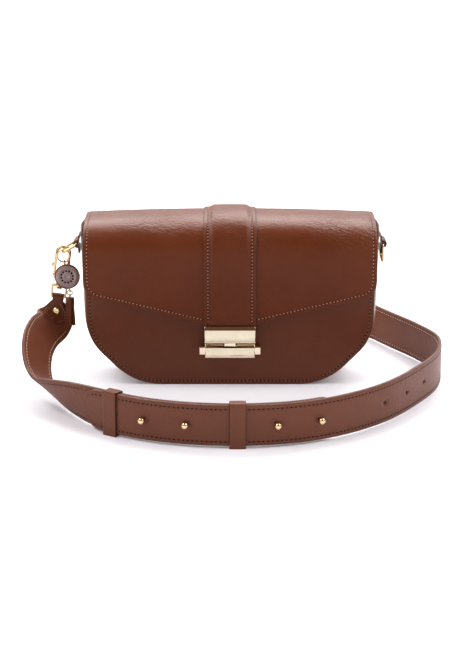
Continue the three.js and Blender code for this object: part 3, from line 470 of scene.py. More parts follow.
def leather(name, base, deep, gloss=0.34, wrinkles=0.0, shine=0.2):
    """Smooth full-grain leather: fine pores, soft colour clouds and, on the roll of the flap,
    slanting creases."""
    n = Nodes(name)
    clouds = n.noise(14, 4)
    pores = n.node("ShaderNodeTexVoronoi", {"Vector": n.place}, Scale=1500.0).outputs["Distance"]
    fine = n.noise(2600, 2)
    scuffs = n.noise(90, 6, 0.7)
    tone = n.weighed(clouds, 0.5, scuffs, 0.2)
    tone = n.math("ADD", tone, n.math("MULTIPLY", n.noise(1100, 2), 0.3))
    color = n.mix(n.ramp(tone, 0.35, 0.68), deep, base)
    height = n.weighed(pores, 0.8, fine, 0.5)
    normal = n.bump(height, 0.00009, 0.8)
    normal = n.bump(n.noise(700, 3), 0.0005, 0.7, normal)
    normal = n.bump(n.noise(120, 3), 0.0005, 0.3, normal)
    if wrinkles:
        slanted = n.noise(330, 4, 0.6, n.turned((0, 125, 0), (1.0, 1.0, 4.5)))
        patches = n.ramp(n.noise(26, 2), 0.42, 0.62)
        creases = n.math("MULTIPLY", n.ramp(slanted, 0.35, 0.65), patches)
        normal = n.bump(creases, 0.0007 * wrinkles, 0.7, normal)
    rough = n.ramp(scuffs, 0.25, 0.75, gloss - 0.05, gloss + 0.07)
    return n.set(
        Base_Color=color, Roughness=rough, Normal=normal, Coat_Weight=0.06,
        Coat_Roughness=0.25, Specular_IOR_Level=shine, Specular_Tint=(1.0, 0.78, 0.66),
    )


def painted_edge(name, color, shine=0.25):
    """The burnished, painted cut edge of leather."""
    n = Nodes(name)
    worn = n.ramp(n.noise(260, 4, 0.7), 0.45, 0.75)
    lighter = tuple(2.2 * c + 0.001 for c in color)
    return n.set(
        Base_Color=n.mix(worn, color, lighter), Roughness=n.ramp(n.noise(400), 0.3, 0.7, 0.3, 0.5),
        Normal=n.bump(n.noise(700, 3), 0.0002, 0.5), Specular_IOR_Level=shine,
    )


def metal(name, color, rough=0.12):
    """Plated metal with a faint cloudiness and hairline marks."""
    n = Nodes(name)
    haze = n.noise(70, 4, 0.7)
    marks = n.noise(900, 3, 0.6, n.turned((12, 25, 8), (1, 12, 1)))
    shade = n.mix(n.ramp(haze, 0.3, 0.7), tuple(0.9 * c for c in color), color)
    return n.set(
        Base_Color=shade, Metallic=1.0, Roughness=n.ramp(marks, 0.35, 0.75, rough, rough + 0.04),
        Normal=n.bump(marks, 0.00001, 0.25),
    )


def thread_material(name, color):
    """Twisted, waxed sewing thread."""
    n = Nodes(name)
    twist = n.node(
        "ShaderNodeTexWave", {"Vector": n.turned((35, 35, 0))}, Scale=700.0, Distortion=1.5,
    ).outputs["Fac"]
    return n.set(
        Base_Color=n.mix(twist, tuple(0.6 * c for c in color), color), Roughness=0.55,
        Normal=n.bump(twist, 0.00015, 0.6),
    )


def cloth(name, color):
    """Fine twill lining."""
    n = Nodes(name)
    rib = n.node(
        "ShaderNodeTexWave", {"Vector": n.turned((0, 45, 30))}, Scale=420.0, Distortion=0.6,
    ).outputs["Fac"]
    weave = n.weighed(rib, 0.7, n.noise(1200, 3), 0.4)
    shade = n.mix(n.ramp(weave, 0.2, 0.9), tuple(0.62 * c for c in color), color)
    return n.set(
        Base_Color=shade, Roughness=0.85, Normal=n.bump(weave, 0.0002, 0.6),
        Sheen_Weight=0.25, Sheen_Roughness=0.5,
    )


def enamel(name, color):
    n = Nodes(name)
    streaks = n.noise(600, 4, 0.6, n.turned((0, 30, 0), (6, 1, 1)))
    shade = n.mix(n.ramp(streaks, 0.3, 0.7), tuple(0.8 * c for c in color), color)
    return n.set(
        Base_Color=shade, Metallic=0.35, Roughness=n.ramp(streaks, 0.3, 0.7, 0.3, 0.45),
        Normal=n.bump(streaks, 0.00006, 0.5),
    )


# Body leather is the flap's leather kept a little darker, partly painted shade for the flap's shadow on
# the front panel.
BODY = leather("body_leather", (0.112, 0.0245, 0.0068), (0.082, 0.0165, 0.0046), shine=0.32)
ROLL = leather("flap_leather", (0.120, 0.0255, 0.0065), (0.088, 0.0175, 0.0045), wrinkles=1.0)
# Strap leather: its own colour, made lighter and pinker as painted reflection of the pale floor; the
# keepers share it.
STRAP = leather("strap_leather", (0.148, 0.050, 0.029), (0.112, 0.034, 0.018), 0.4, wrinkles=0.4)
UNDER = leather("strap_back_leather", (0.165, 0.050, 0.024), (0.12, 0.034, 0.015), gloss=0.45)
EDGE = painted_edge("edge_paint", (0.030, 0.011, 0.008))
# The same edge paint made lighter, as painted highlight along the top edges of the strap, tabs and
# panels.
EDGE_PAINTED_HIGHLIGHT = painted_edge("edge_paint_painted_highlight", (0.085, 0.030, 0.018))
GOLD = metal("champagne_gold", (0.76, 0.64, 0.48), 0.06)
STUD_GOLD = metal("stud_gold", (0.86, 0.64, 0.36), 0.08)
DEEP_GOLD = metal("wire_gold", (0.66, 0.46, 0.24), 0.12)
STEEL = metal("nickel", (0.62, 0.60, 0.57), 0.22)
THREAD = thread_material("thread_beige", (0.46, 0.26, 0.18))
THREAD_LIGHT = thread_material("thread_cream", (0.75, 0.57, 0.45))
THREAD_DARK = thread_material("thread_brown", (0.17, 0.075, 0.05))
# Tonal dark thread, darkened further as painted shade for the thread lying in its groove on the strap's
# outer face.
THREAD_DEEP = thread_material("thread_umber", (0.050, 0.020, 0.013))
# Near-black and without gloss: on stitch lines its discs are painted shade for the awl holes; on the
# charm face it colours the pattern's dots.
HOLE = painted_edge("awl_hole", (0.004, 0.002, 0.0015), 0.0)
CLOTH = cloth("lining_twill", (0.30, 0.20, 0.13))
BOARD = cloth("base_board_cloth", (0.20, 0.15, 0.11))
FACE = enamel("charm_enamel", (0.33, 0.235, 0.22))
BRONZE = metal("dark_bronze", (0.20, 0.10, 0.065), 0.2)
HIDE = [BODY, EDGE_PAINTED_HIGHLIGHT, BODY]
ROLL_HIDE = [ROLL, EDGE, ROLL]
STRAP_HIDE = [STRAP, EDGE_PAINTED_HIGHLIGHT, UNDER]
TWILL = [CLOTH, CLOTH, CLOTH]


# ---------- body ----------
def fillet(before, corner, after, radius, steps):
    a, b = unit(before - corner), unit(after - corner)
    half = math.acos(float(np.clip(a @ b, -1, 1))) / 2
    centre = corner + unit(a + b) * radius / math.sin(half)
    start, end = corner + a * radius / math.tan(half), corner + b * radius / math.tan(half)
    first = math.atan2(*(start - centre)[::-1])
    sweep = math.atan2(*(end - centre)[::-1]) - first
    sweep = (sweep + math.pi) % (2 * math.pi) - math.pi
    turn = first + sweep * np.linspace(0, 1, steps)
    return centre + radius * np.stack([np.cos(turn), np.sin(turn)], -1)


def half_outline(top, step=4.0):
    """Right half of the body's outline, from the middle of the base to the given height."""
    base, low = np.array([0.0, 0.0]), np.array([BASE_HALF, 0.0])
    side, high = np.array([CORNER_X, CORNER_Z]), np.array([HALF_WIDTH, top])
    corners = np.vstack([
        base[None], fillet(base, low, side, BASE_FILLET, 14),
        fillet(low, side, high, SIDE_FILLET, 14), high[None],
    ])
    s = lengths(corners)
    extra = [s[k] + np.arange(step, s[k + 1] - s[k] - 6, step) for k in range(len(s) - 1)]
    return columns_of(np.sort(np.concatenate([s, *extra])), s, corners)


def full_outline(top):
    right = half_outline(top)
    return np.vstack([right[:0:-1] * (-1, 1), right])


def inward(line, closed=True):
    """Mitred inward directions of a counter-clockwise outline."""
    ahead = unit(np.roll(line, -1, 0) - line)
    behind = unit(line - np.roll(line, 1, 0))
    if not closed:
        ahead[-1], behind[0] = behind[-1], ahead[0]
    turn = lambda v: np.stack([-v[:, 1], v[:, 0]], -1)
    n1, n2 = turn(ahead), turn(behind)
    return (n1 + n2) / (1 + np.sum(n1 * n2, 1))[:, None]


PANEL_INSETS = edge_list(0.15, 0.5, 1, 1.6, 2.3, 2.8, 3.2, 3.5, 3.8, 4.2, 4.8)
PANEL_SHARES = edge_list(0.96, 0.88, 0.75, 0.55, 0.3, 0.04)


def panel(name, top, face, back, materials, node, bow=0.0):
    """A flat panel with a rounded edge and a sunk stitch line, its outer face towards face."""
    line = full_outline(top)
    into = inward(line)
    sign = 1 if face > back else -1
    thick = abs(face - back)
    middle = np.array([0.0, top / 2])
    field = line + into * PANEL_INSETS[-1]
    rows = [(middle + (field - middle) * s, 0.0) for s in PANEL_SHARES[::-1]]
    rows += [(line + into * 0.35, 0.0), (line + into * 0.1, 0.12 * thick), (line, 0.5 * thick)]
    rows += [(line + into * e, thick - float(relief(e))) for e in PANEL_INSETS]
    rows += [(middle + (field - middle) * s, thick + bow * (1 - s * s)) for s in PANEL_SHARES]
    rings = []
    for flat, depth in rows:
        y = np.full(len(flat), back + sign * depth)
        rings.append(np.stack([flat[:, 0], y, flat[:, 1]], -1))
    verts, faces = rings_solid(rings)
    count, inside = len(line), len(PANEL_SHARES)
    rim = range(inside * count, (inside + 3) * count)
    slots = [(1 if k in rim else 2 if k < rim[0] else 0) for k in range(len(faces) - 2)]
    obj = make(name, verts, faces, materials, slots + [2, 0], "case")
    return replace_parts(obj, node)


def outline_run(top, y, normal_y, inset=STITCH_INSET, trim=1.5):
    line = full_outline(top - trim)
    flat = line + inward(line, closed=False) * inset
    points = np.stack([flat[:, 0], np.full(len(flat), y), flat[:, 1]], -1)
    return points, np.tile((0.0, normal_y, 0.0), (len(flat), 1))


def gusset_top(y):
    forward, backward = np.maximum(0, -y - 8) / 26, np.maximum(0, y - 20) / 14
    return GUSSET_TOP - 17 * forward**2 - 8 * backward**2


def gusset_grid(inset, half_depth, drop, count=17):
    """The band round the sides and base, bellied on the sides and cut low at its front."""
    low = half_outline(GUSSET_TOP)
    low = low[low[:, 1] < 60]
    depths = np.linspace(-half_depth, half_depth, count)
    rise = np.linspace(0, 1, 26)[1:]
    columns = []
    for y in depths:
        top = gusset_top(y) - drop
        start = low[-1]
        lean = (HALF_WIDTH - start[0]) / (GUSSET_TOP - start[1])
        z = start[1] + (top - start[1]) * rise
        right = np.vstack([low, np.stack([start[0] + (z - start[1]) * lean, z], -1)])
        line = np.vstack([right[:0:-1] * (-1, 1), right])
        belly = SIDE_BULGE * smoothstep(line[:, 1], 8, 70) * (1 - (y / HALF_DEPTH) ** 2)
        flat = line - inward(line, closed=False) * (belly - inset)[:, None]
        flat[[0, -1], 1] = top
        columns.append(np.stack([flat[:, 0], np.full(len(flat), y), flat[:, 1]], -1))
    return np.stack(columns, 1)


def build_body():
    inner = HALF_DEPTH - LEATHER
    front = panel("front_leather", FRONT_TOP, -HALF_DEPTH, -inner, HIDE, "front_panel", 0.5)
    back = panel("back_leather", BACK_TOP, HALF_DEPTH, inner, HIDE, "back_panel", 0.5)
    depth = inner - GAP
    band = slab(
        "gusset_leather", gusset_grid(0, depth, 0), gusset_grid(LEATHER, depth, 0), HIDE, "case",
    )
    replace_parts(band, "gusset")
    runs = [outline_run(FRONT_TOP, -HALF_DEPTH + 0.16, -1.0)]
    stitches("front_stitching", runs, [THREAD_DARK, HOLE], pitch=3.5, long=2.1, body="case")
    runs = [outline_run(BACK_TOP, HALF_DEPTH - 0.16, 1.0)]
    stitches("back_stitching", runs, [THREAD, HOLE], pitch=3.9, long=2.6, body="case")


LINING_INSET, LINING_FACE, LINING_TRIM = 4.1, 31.1, 1.5
POCKET_HALF, POCKET_LOW, POCKET_TOP, POCKET_Y = 60, 50, 122, 30.35
BOARD_HALF, BOARD_REACH, BOARD_ROUND, BOARD_Z = 60, 30, 4, 3.05


def build_linings():
    """Twill on the gusset, the front and the back."""
    outer = gusset_grid(LINING_INSET, LINING_FACE, LINING_TRIM)
    inner = gusset_grid(LINING_INSET + LINING, LINING_FACE, LINING_TRIM)
    band = slab("gusset_twill", outer, inner, TWILL, "case", 0.1, 3)
    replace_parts(band, "gusset_lining")
    for name, top, y, node in (
        ("front_twill", FRONT_TOP, -32.2, "front_lining"),
        ("back_twill", BACK_TOP, 31.4, "back_lining"),
    ):
        line = full_outline(top - LINING_TRIM)
        flat = line + inward(line) * 4.6
        rings = [
            np.stack([flat[:, 0] * s, np.full(len(flat), y + d), flat[:, 1]], -1)
            for s, d in ((0.998, 0.0), (1.0, 0.2), (1.0, 0.6), (0.998, 0.8))
        ]
        sheet = make(name, *rings_solid(rings), [CLOTH], body="case")
        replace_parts(sheet, node)


def build_pocket():
    """Slip pocket on the back lining, a little slack along its mouth, with its seam."""
    across = np.linspace(-POCKET_HALF, POCKET_HALF, 41)
    x, z = np.meshgrid(across, np.linspace(POCKET_LOW, POCKET_TOP, 25), indexing="ij")
    sag = 0.25 * smoothstep(z, 90, POCKET_TOP) * np.cos(x / POCKET_HALF * math.pi / 2)
    outer = np.stack([x, POCKET_Y - sag, z], -1)
    pocket = slab("pocket_twill", outer, outer + (0, 0.7, 0), TWILL, "case", 0.2, 3)
    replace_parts(pocket, "slip_pocket")
    edge, low, high = POCKET_HALF - 2.5, POCKET_LOW + 3, POCKET_TOP - 2.5
    corner = np.array([(-edge, low), (-edge, high), (edge, high), (edge, low), (-edge, low)], float)
    s = lengths(corner)
    flat = columns_of(np.linspace(0, s[-1], 200), s, corner)
    points = np.stack([flat[:, 0], np.full(len(flat), POCKET_Y - 0.2), flat[:, 1]], -1)
    run = points, np.tile((0.0, -1, 0), (len(flat), 1))
    stitches("pocket_stitching", [run], [THREAD, HOLE], body="case")


def build_base_board():
    outline = rectangle_loop(BOARD_HALF, BOARD_REACH, -BOARD_REACH, BOARD_ROUND, 12)
    verts, faces = cast([outline], 0.75, 0.3)
    verts = verts[:, [0, 2, 1]] + (0, 0, BOARD_Z)
    base = make("base_board_cover", verts, faces, [BOARD], body="case")
    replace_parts(base, "base_board")


# ---------- flap ----------
CURVE = spline(FLAP_CURVE, 4000)
CURVE_S = lengths(CURVE)
CURVE_T = unit(np.gradient(CURVE, axis=0))
CURVE_TOP = int(np.argmax(CURVE[:, 1]))


def flap_at(height, front):
    if front:
        return np.interp(-np.asarray(height, float), -CURVE[CURVE_TOP:, 1], CURVE_S[CURVE_TOP:])
    return np.interp(height, CURVE[:CURVE_TOP, 1], CURVE_S[:CURVE_TOP])


def flap_point(x, s, lift):
    """Place on the flap: across the bag, along the flap's curve, and off its outer face."""
    p, t = columns_of(s, CURVE_S, CURVE), columns_of(s, CURVE_S, CURVE_T)
    crown = FLAP_CROWN * (1 - (x / HALF_WIDTH) ** 2) * smoothstep(p[..., 1], 118, 146)
    return np.stack([x, p[..., 0] + lift * t[..., 1], p[..., 1] + crown - lift * t[..., 0]], -1)


def flap_normal(s):
    t = columns_of(s, CURVE_S, CURVE_T)
    return np.stack([np.zeros_like(s), t[..., 1], -t[..., 0]], -1)


CORNER_X0 = HALF_WIDTH - FLAP_CORNER
HEM_COS = math.cos(math.atan(FLAP_SLOPE))
CORNER_Z0 = FLAP_TIP_Z + FLAP_SLOPE * (CORNER_X0 - TIP_X) + FLAP_CORNER / HEM_COS


def hem_height(x, tongue=True):
    """Height of the flap's hem: the sloping sides, the round corners, and the tongue."""
    across = np.abs(x)
    diagonal = FLAP_TIP_Z + FLAP_SLOPE * (across - TIP_X)
    bend = CORNER_Z0 - np.sqrt(FLAP_CORNER**2 - np.clip(across - CORNER_X0, 0, FLAP_CORNER) ** 2)
    z = np.where(across < CORNER_X0 + FLAP_CORNER * FLAP_SLOPE * HEM_COS, diagonal, bend)
    return np.where((across <= TONGUE_HALF) & tongue, TONGUE_Z, z)


SEAM_S = float(flap_at(FLAP_SEAM_Z, False))
MID_S = float(np.interp(-10, -CURVE[:, 0], CURVE_S))
JOIN_STEP = 0.4
EDGES = edge_list(0, 0.35, 0.8, 1.4, 2.2, 2.8, 3.2, 3.5, 3.8, 4.2, 4.8, 6, 8)


def flap_inset(x, s):
    """Distance in from the flap's side or hem, in the flat leather."""
    across, down = np.abs(x) - CORNER_X0, s - float(flap_at(CORNER_Z0, True))
    side = HALF_WIDTH - np.abs(x)
    hem = (flap_at(hem_height(x, False), True) - s) * HEM_COS
    round_corner = FLAP_CORNER - np.hypot(across, down)
    corner = (across > 0) & (down > 0)
    return np.where(corner, np.minimum(round_corner, side), np.minimum(side, hem))


def across_columns(half, step=3.0):
    """Columns across the flap, close together at both side edges and at the strip."""
    middle = np.arange(TONGUE_HALF + 3.5, half - EDGES[-1] - 1, step)
    right = np.concatenate([[TONGUE_HALF, TONGUE_HALF + 0.8], middle, half - EDGES[::-1]])
    inner = np.array([0, 7, 14])
    return np.concatenate([-right[::-1], -inner[:0:-1], inner, right])


def curve_rows(rear, end, count):
    """Places along the flap's curve, close together at the join and at the free edge."""
    if rear:
        middle = np.linspace(SEAM_S + EDGES[-1], MID_S - JOIN_STEP, 22)
        return np.concatenate([SEAM_S + EDGES[:-1], middle, [MID_S]])
    middle = np.linspace(MID_S + JOIN_STEP, end - EDGES[-1], count)
    return np.concatenate([[MID_S], middle, end - EDGES[-2::-1]])


def flap_sheet(name, rear, columns, outer_of, inner_lift, materials, hem_drop=0.0):
    """One sheet of the flap. A lining ends hem_drop short of the leather's hem."""
    ends = flap_at(hem_height(columns), True)
    s = np.stack([curve_rows(rear, end, 56) for end in ends])
    x = np.repeat(columns[:, None], s.shape[1], 1)
    if hem_drop:
        s = np.minimum(s, ends[:, None] - hem_drop * np.linspace(0, 1, s.shape[1]))
    outer = flap_point(x, s, outer_of(x, s))
    inner = flap_point(x, s, np.full_like(x, inner_lift))
    return slab(name, outer, inner, materials)


def hinge(obj, rear):
    """Bakes a piece of the flap's placement into its mesh, the same way for rear and front pieces."""
    if rear:
        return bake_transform(obj)
    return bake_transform(obj)


def build_flap():
    columns = across_columns(HALF_WIDTH)
    nodes = {True: ("flap_back",), False: ("flap_top", "flap_front")}
    twill = {True: (), False: ("flap_lining_top", "flap_lining_front")}
    for rear, tag in ((True, "rear"), (False, "front")):
        face = lambda x, s: -relief(np.minimum(flap_inset(x, s), s - SEAM_S if rear else 99.0))
        skin = flap_sheet(f"flap_leather_{tag}", rear, columns, face, -LEATHER, ROLL_HIDE)
        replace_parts(skin, *nodes[rear])
        hinge(skin, rear)
        drop = lambda x, s: np.full_like(x, -LEATHER - GAP)
        under = flap_sheet(
            f"flap_twill_{tag}", rear, columns * (HALF_WIDTH - 1) / HALF_WIDTH, drop,
            -LEATHER - GAP - LINING, TWILL, 0.0 if rear else 1.0,
        )
        if twill[rear]:
            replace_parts(under, *twill[rear])
        hinge(under, rear)
        thread = stitches(f"flap_stitching_{tag}", flap_runs(rear), [THREAD, HOLE], pitch=3.3, long=1.9)
        hinge(thread, rear)


def flap_runs(rear):
    """Stitch lines of the flap, just inside its edges."""
    inset = STITCH_INSET
    edge, start_x = HALF_WIDTH - inset, STRIP_HALF + 1
    if rear:
        up = np.linspace(SEAM_S + inset, MID_S, 40)[1:]
        x = np.concatenate([np.linspace(start_x, edge, 30), np.full(len(up), edge)])
        s = np.concatenate([np.full(30, SEAM_S + inset), up])
    else:
        radius, start = FLAP_CORNER - inset, float(flap_at(CORNER_Z0, True))
        turn = np.radians(np.linspace(0, 90 - HEM_ANGLE, 14))
        down = np.linspace(MID_S, start, 50)[:-1]
        bend_end = CORNER_X0 + radius * math.sin(math.radians(HEM_ANGLE))
        slant = np.linspace(bend_end, start_x, 40)[1:]
        low = flap_at(FLAP_TIP_Z + FLAP_SLOPE * (slant - TIP_X) + inset / HEM_COS, True)
        x = np.concatenate([np.full(len(down), edge), CORNER_X0 + radius * np.cos(turn), slant])
        s = np.concatenate([down, start + radius * np.sin(turn), low])
    lift = np.full_like(s, -0.16)
    return [(flap_point(side * x, s, lift), flap_normal(s)) for side in (-1, 1)]


STRIP_EDGES = edge_list(0, 0.3, 0.7, 1.2, 2, 2.7, 3.2, 3.6, 4, 4.5, 5, 5.6, 6.3, 7.1, 8, 9, 10.5, 13, 17)


def strip_rise(x, s):
    """How far the padded strip's face stands off the flap: flat stitched bands at its sides
    and a soft pad between them, which ends before the strip does."""
    edge = STRIP_HALF - np.abs(x)
    end = float(flap_at(STRIP_END_Z, True)) - s
    shoulder = smoothstep(edge, 4.4, 8.6) * smoothstep(np.minimum(end, s - SEAM_S), 1.0, 6.0)
    dome = STRIP_DOME * (1 - (x / STRIP_HALF) ** 2)
    rim = relief(edge, 0.4, 1.2, 0.2, STRIP_INSET)
    return GAP + STRIP_THICK + (STRIP_PAD - STRIP_DOME) * shoulder + dome * shoulder - rim


def build_strip():
    right = STRIP_HALF - STRIP_EDGES[::-1]
    columns = np.concatenate([-right[::-1], [-3.0, 0, 3.0], right])
    end_s = float(flap_at(STRIP_END_Z, True))
    nodes = {True: ("strip_back",), False: ("strip_top", "strip_front")}
    for rear, tag in ((True, "rear"), (False, "front")):
        x, s = np.meshgrid(columns, curve_rows(rear, end_s, 50), indexing="ij")
        lift = strip_rise(x, s)
        base = flap_point(x, s, np.full_like(x, GAP))
        skin = slab(f"strip_leather_{tag}", flap_point(x, s, lift), base, ROLL_HIDE)
        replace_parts(skin, *nodes[rear])
        hinge(skin, rear)
        runs = []
        for side in (-1, 1):
            along = np.linspace(SEAM_S + 3, MID_S, 60) if rear else np.linspace(MID_S, end_s - 2, 120)
            place = np.full_like(along, side * (STRIP_HALF - STRIP_INSET))
            runs.append((flap_point(place, along, strip_rise(place, along)), flap_normal(along)))
        hinge(stitches(f"strip_stitching_{tag}", runs, [THREAD, HOLE], 3.1, 1.6, hole=0.75), rear)


# ---------- clasp ----------
PLATE_SIDE = (
    (-42.4, 42.3), (-42.4, 57.3), (-44.5, 57.35), (-46.4, 54.2), (-47.9, 43.6), (-47.3, 42.3),
)
LOCK_SIDE = (
    (-37.0, 28.7), (-37.0, 40.9), (-44.9, 40.95), (-47.0, 38.0), (-48.3, 30.5), (-47.5, 28.7),
)


def bar(name, side, half, body, node, cutters=()):
    """A bar of the clasp from its side outline, with its edges rounded."""
    flat = np.array(side, float)
    rings = [np.column_stack([np.full(len(flat), x), flat]) for x in (-half, half)]
    obj = make(name, *rings_solid(rings), [GOLD], body=body, sharp=30)
    if cutters:
        drilled(obj, cutters)
    round_edges(obj, 0.4, 20)
    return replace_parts(settle(obj), node)


def block(x, y, z):
    """A plain cutter between the given limits."""
    rings = [[(x[0], b, c), (x[1], b, c), (x[1], b, d), (x[0], b, d)] for b in y for c, d in (z,)]
    return rings_solid(rings)


def build_clasp():
    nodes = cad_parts
    bar("clasp_plate_gold", PLATE_SIDE, 23.0, "flap_front", "clasp_plate")
    notch = block((-5.6, 5.6), (-52, -42.6), (38.2, 44))
    bar("lock_case_gold", LOCK_SIDE, 22.5, "case", "lock_case", [notch])
    for name, width in (("button_left", 0.5), ("button_right", 0.5), ("clasp_tongue", 0.25)):
        round_edges(nodes[name], width, 28)
        paint(nodes[name], GOLD)
    for name in nodes:
        if "backplate" in name or "rivet_" in name:
            paint(nodes[name], STEEL)
    for side, name in ((-1, "left"), (1, "right")):
        turn = np.linspace(0, 10 * math.pi, 140)
        reach = np.linspace(14.35, 16.85, 140)
        y, z = 1.7 * np.cos(turn) - 42.2, 1.7 * np.sin(turn) + 34.75
        part = tube(np.stack([side * reach, y, z], -1), 0.28, (1, 0, 0), sides=8)
        coil = make(f"{name}_spring_coil", *part, [STEEL], body="case")
        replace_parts(coil, f"button_spring_{name}")
        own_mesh(coil)


def paint(node, material):
    node.data.materials.clear()
    node.data.materials.append(material)


# ---------- rings and tabs ----------
def build_tabs():
    """Folded leather loops that hold the rings to the gusset."""
    for side, name in ((-1, "left"), (1, "right")):
        loop = arc(BAR_X, BAR_Z, 2.95, -105, 105, 22)
        low = [(137.75, 117.2), (137.9, 119.2), (138.3, 121.4)]
        path = spline([*low, *loop, (138.0, 130.4), (137.7, 133)], 60)
        along = unit(np.gradient(path, axis=0))
        across = np.concatenate([-TAB_HALF + EDGES[:9], [0], TAB_HALF - EDGES[8::-1]])
        out = np.stack([along[:, 1], -along[:, 0]], -1)
        inset = TAB_HALF - np.abs(across)
        rise = 1.0 - relief(inset, 0.3, 1.2, 0.15, 2.4)
        def surface(lift):
            flat = path[:, None] + out[:, None] * lift[None, :, None]
            y = np.broadcast_to(across, flat.shape[:2])
            return np.stack([side * flat[..., 0], y, flat[..., 1]], -1)
        inner = surface(np.full_like(across, -0.85))
        tab = slab(f"{name}_tab_leather", surface(rise), inner, HIDE, "case")
        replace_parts(tab, f"{name}_ring_tab")
        runs = []
        for edge in (-TAB_HALF + 2.4, TAB_HALF - 2.4):
            flat = path[2:-2] + out[2:-2] * 0.86
            points = np.stack([side * flat[:, 0], np.full(len(flat), edge), flat[:, 1]], -1)
            normals = np.stack([side * out[2:-2, 0], np.zeros(len(flat)), out[2:-2, 1]], -1)
            runs.append((points, normals))
        thread = [THREAD, HOLE]
        stitches(f"{name}_tab_stitching", runs, thread, 2.8, 2.0, thread=0.26, body="case")


def build_rings():
    """Rectangular wire rings: the left one is turned outwards, the right one hangs down."""
    loop = rectangle_loop(RING_HALF, 0.0, -RING_DROP, RING_CORNER)
    points = np.array([(0, y, z) for y, z in loop])
    wire = tube(points, RING_WIRE, (1, 0, 0), closed=True, sides=16)
    for side, name, turn in ((-1, "left", LEFT_RING_TURN), (1, "right", 0.0)):
        part = placed(wire, (side * BAR_X, 0, BAR_Z), *leaned(turn))
        ring = make(f"{name}_ring_wire", *part, [DEEP_GOLD], body=f"{name}_ring")
        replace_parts(ring, f"{name}_ring")


# ---------- hooks ----------
def hook_parts():
    """Lobster hook round the origin's axis: body, shank and head, then its gate."""
    half, arch, eye_end = HOOK["half"], HOOK["arch"], HOOK["eye_end"]
    base, low, inner = HOOK["base"], HOOK["gate_low"] - 0.7, HOOK["half"] - HOOK["wall"]
    outline = arc(0, arch, half, 180, 0, 26)
    outline += [(half, eye_end + 6)] + arc(half - 5, eye_end, 5, 0, -50, 8)
    outline += [(inner - 1.5, base), (-inner + 1.5, base)] + arc(-half + 5, eye_end, 5, -130, -180, 8)
    outline += [(-half, low), (-inner, low)] + arc(-inner + 2.2, eye_end + 2.2, 2.2, 180, 270, 6)
    outline += arc(inner - 2.2, eye_end + 2.2, 2.2, 270, 360, 6) + arc(0, arch, inner, 0, 180, 22)
    verts, faces = cast([outline], 2.2, 1.25)
    swell = 1 + 0.22 * smoothstep(-verts[:, 2], 20, 27) - 0.25 * smoothstep(-verts[:, 2], 29, 33)
    verts = verts * np.stack([np.ones(len(verts)), swell, np.ones(len(verts))], -1)
    top = SWIVEL["top"] - SWIVEL["bar"]
    stem = [(0, base + 2), (2.6, base + 1.5), (2.2, base + 0.2), (1.55, base - 0.3)]
    head = [(1.55, top - 0.3), (2.0, top - 0.5), (2.7, top - 0.8), (2.8, top - 1.3)]
    shank = lathe([*stem, *head, (2.2, top - 1.75), (0, top - 1.9)], 28)
    gate = [(-half + 0.3, HOOK["gate_low"]), (-inner - 0.3, HOOK["gate_low"])]
    gate += [(-inner - 0.3, arch - 2), (-inner - 0.7, arch - GAP)]
    gate += [(-half + 0.3, arch - GAP), (-half + 0.3, -13.6)]
    gate += arc(-half - 0.6, -15.9, 1.7, 75, 285, 14) + [(-half + 0.3, -18.4)]
    return joined([(verts, faces), shank])[:2], cast([gate], 1.75, 0.6)


def swivel_parts():
    """Rectangular ring with a collar round its upper bar, for the hook's shank."""
    half, top, end, wire = SWIVEL["half"], SWIVEL["top"], SWIVEL["end"], SWIVEL["wire"]
    outside = rectangle_loop(half, top, end, 3.0)
    bar = top - SWIVEL["bar"]
    inside = rectangle_loop(half - wire, bar, end + wire, 0.9, 4)
    ring = cast([outside, inside[::-1]], wire / 2 + 0.15, 0.85)
    upper = [(1.95, top + 0.1), (2.7, top + 0.05), (3.1, top - 0.5)]
    collar = lathe([*upper, (3.1, bar + 0.5), (2.7, bar - 0.05), (1.95, bar - 0.1)], 28)
    return joined([ring, collar])[:2]


def build_hooks():
    """Both hooks with their gates and swivel rings: the left one on its ring, the right one
    beyond the strap's end."""
    hook, gate = hook_parts()
    swivel = swivel_parts()
    tip = ring_tip()
    rise = RING_WIRE + GAP - (HOOK["half"] - HOOK["wall"]) - HOOK["arch"]
    axes = leaned(HOOK_LEAN)
    lean = axes[2]
    left = (tip[0] + rise * lean[0], HOOK["y"], tip[2] + rise * lean[2]), *axes
    place, along, up, out = strap_frame(STRAP_LENGTH + BAR_PAST_END)
    origin = place + out * PLY_LIFT + along * (-SWIVEL["end"] - SWIVEL["wire"] / 2)
    right = origin, -up, -out, along
    for side, at, rider in (("left", left, "strap"), ("right", right, "right_swivel_ring")):
        body = make(f"{side}_hook_body", *placed(hook, *at), [DEEP_GOLD], body=f"{side}_hook")
        lever = make(f"{side}_hook_gate", *placed(gate, *at), [DEEP_GOLD], body=f"{side}_gate")
        ring = make(f"{side}_swivel", *placed(swivel, *at), [DEEP_GOLD], body=rider)
        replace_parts(body, f"{side}_hook")
        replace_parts(lever, f"{side}_gate")
        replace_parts(ring, f"{side}_swivel_ring")


# ---------- charm ----------
def ring_tip():
    drop = RING_DROP
    return (-BAR_X - drop * math.sin(LEFT_RING_TURN), 0, BAR_Z - drop * math.cos(LEFT_RING_TURN))


def torus(radius, wire, z, facing, sides=14):
    turn = np.linspace(0, 2 * math.pi, 36, endpoint=False)
    a, b = radius * np.cos(turn), radius * np.sin(turn) + z
    zero = np.zeros_like(a)
    points = np.stack([zero, a, b] if facing == "x" else [a, zero, b], -1)
    return tube(points, wire, (1, 0, 0) if facing == "x" else (0, 1, 0), closed=True, sides=sides)


def turned_front(part, y, z):
    """A part turned about +Z, laid so that its top faces the front."""
    verts, faces = part
    return np.stack([verts[:, 0], y - verts[:, 2], z + verts[:, 1]], -1), faces


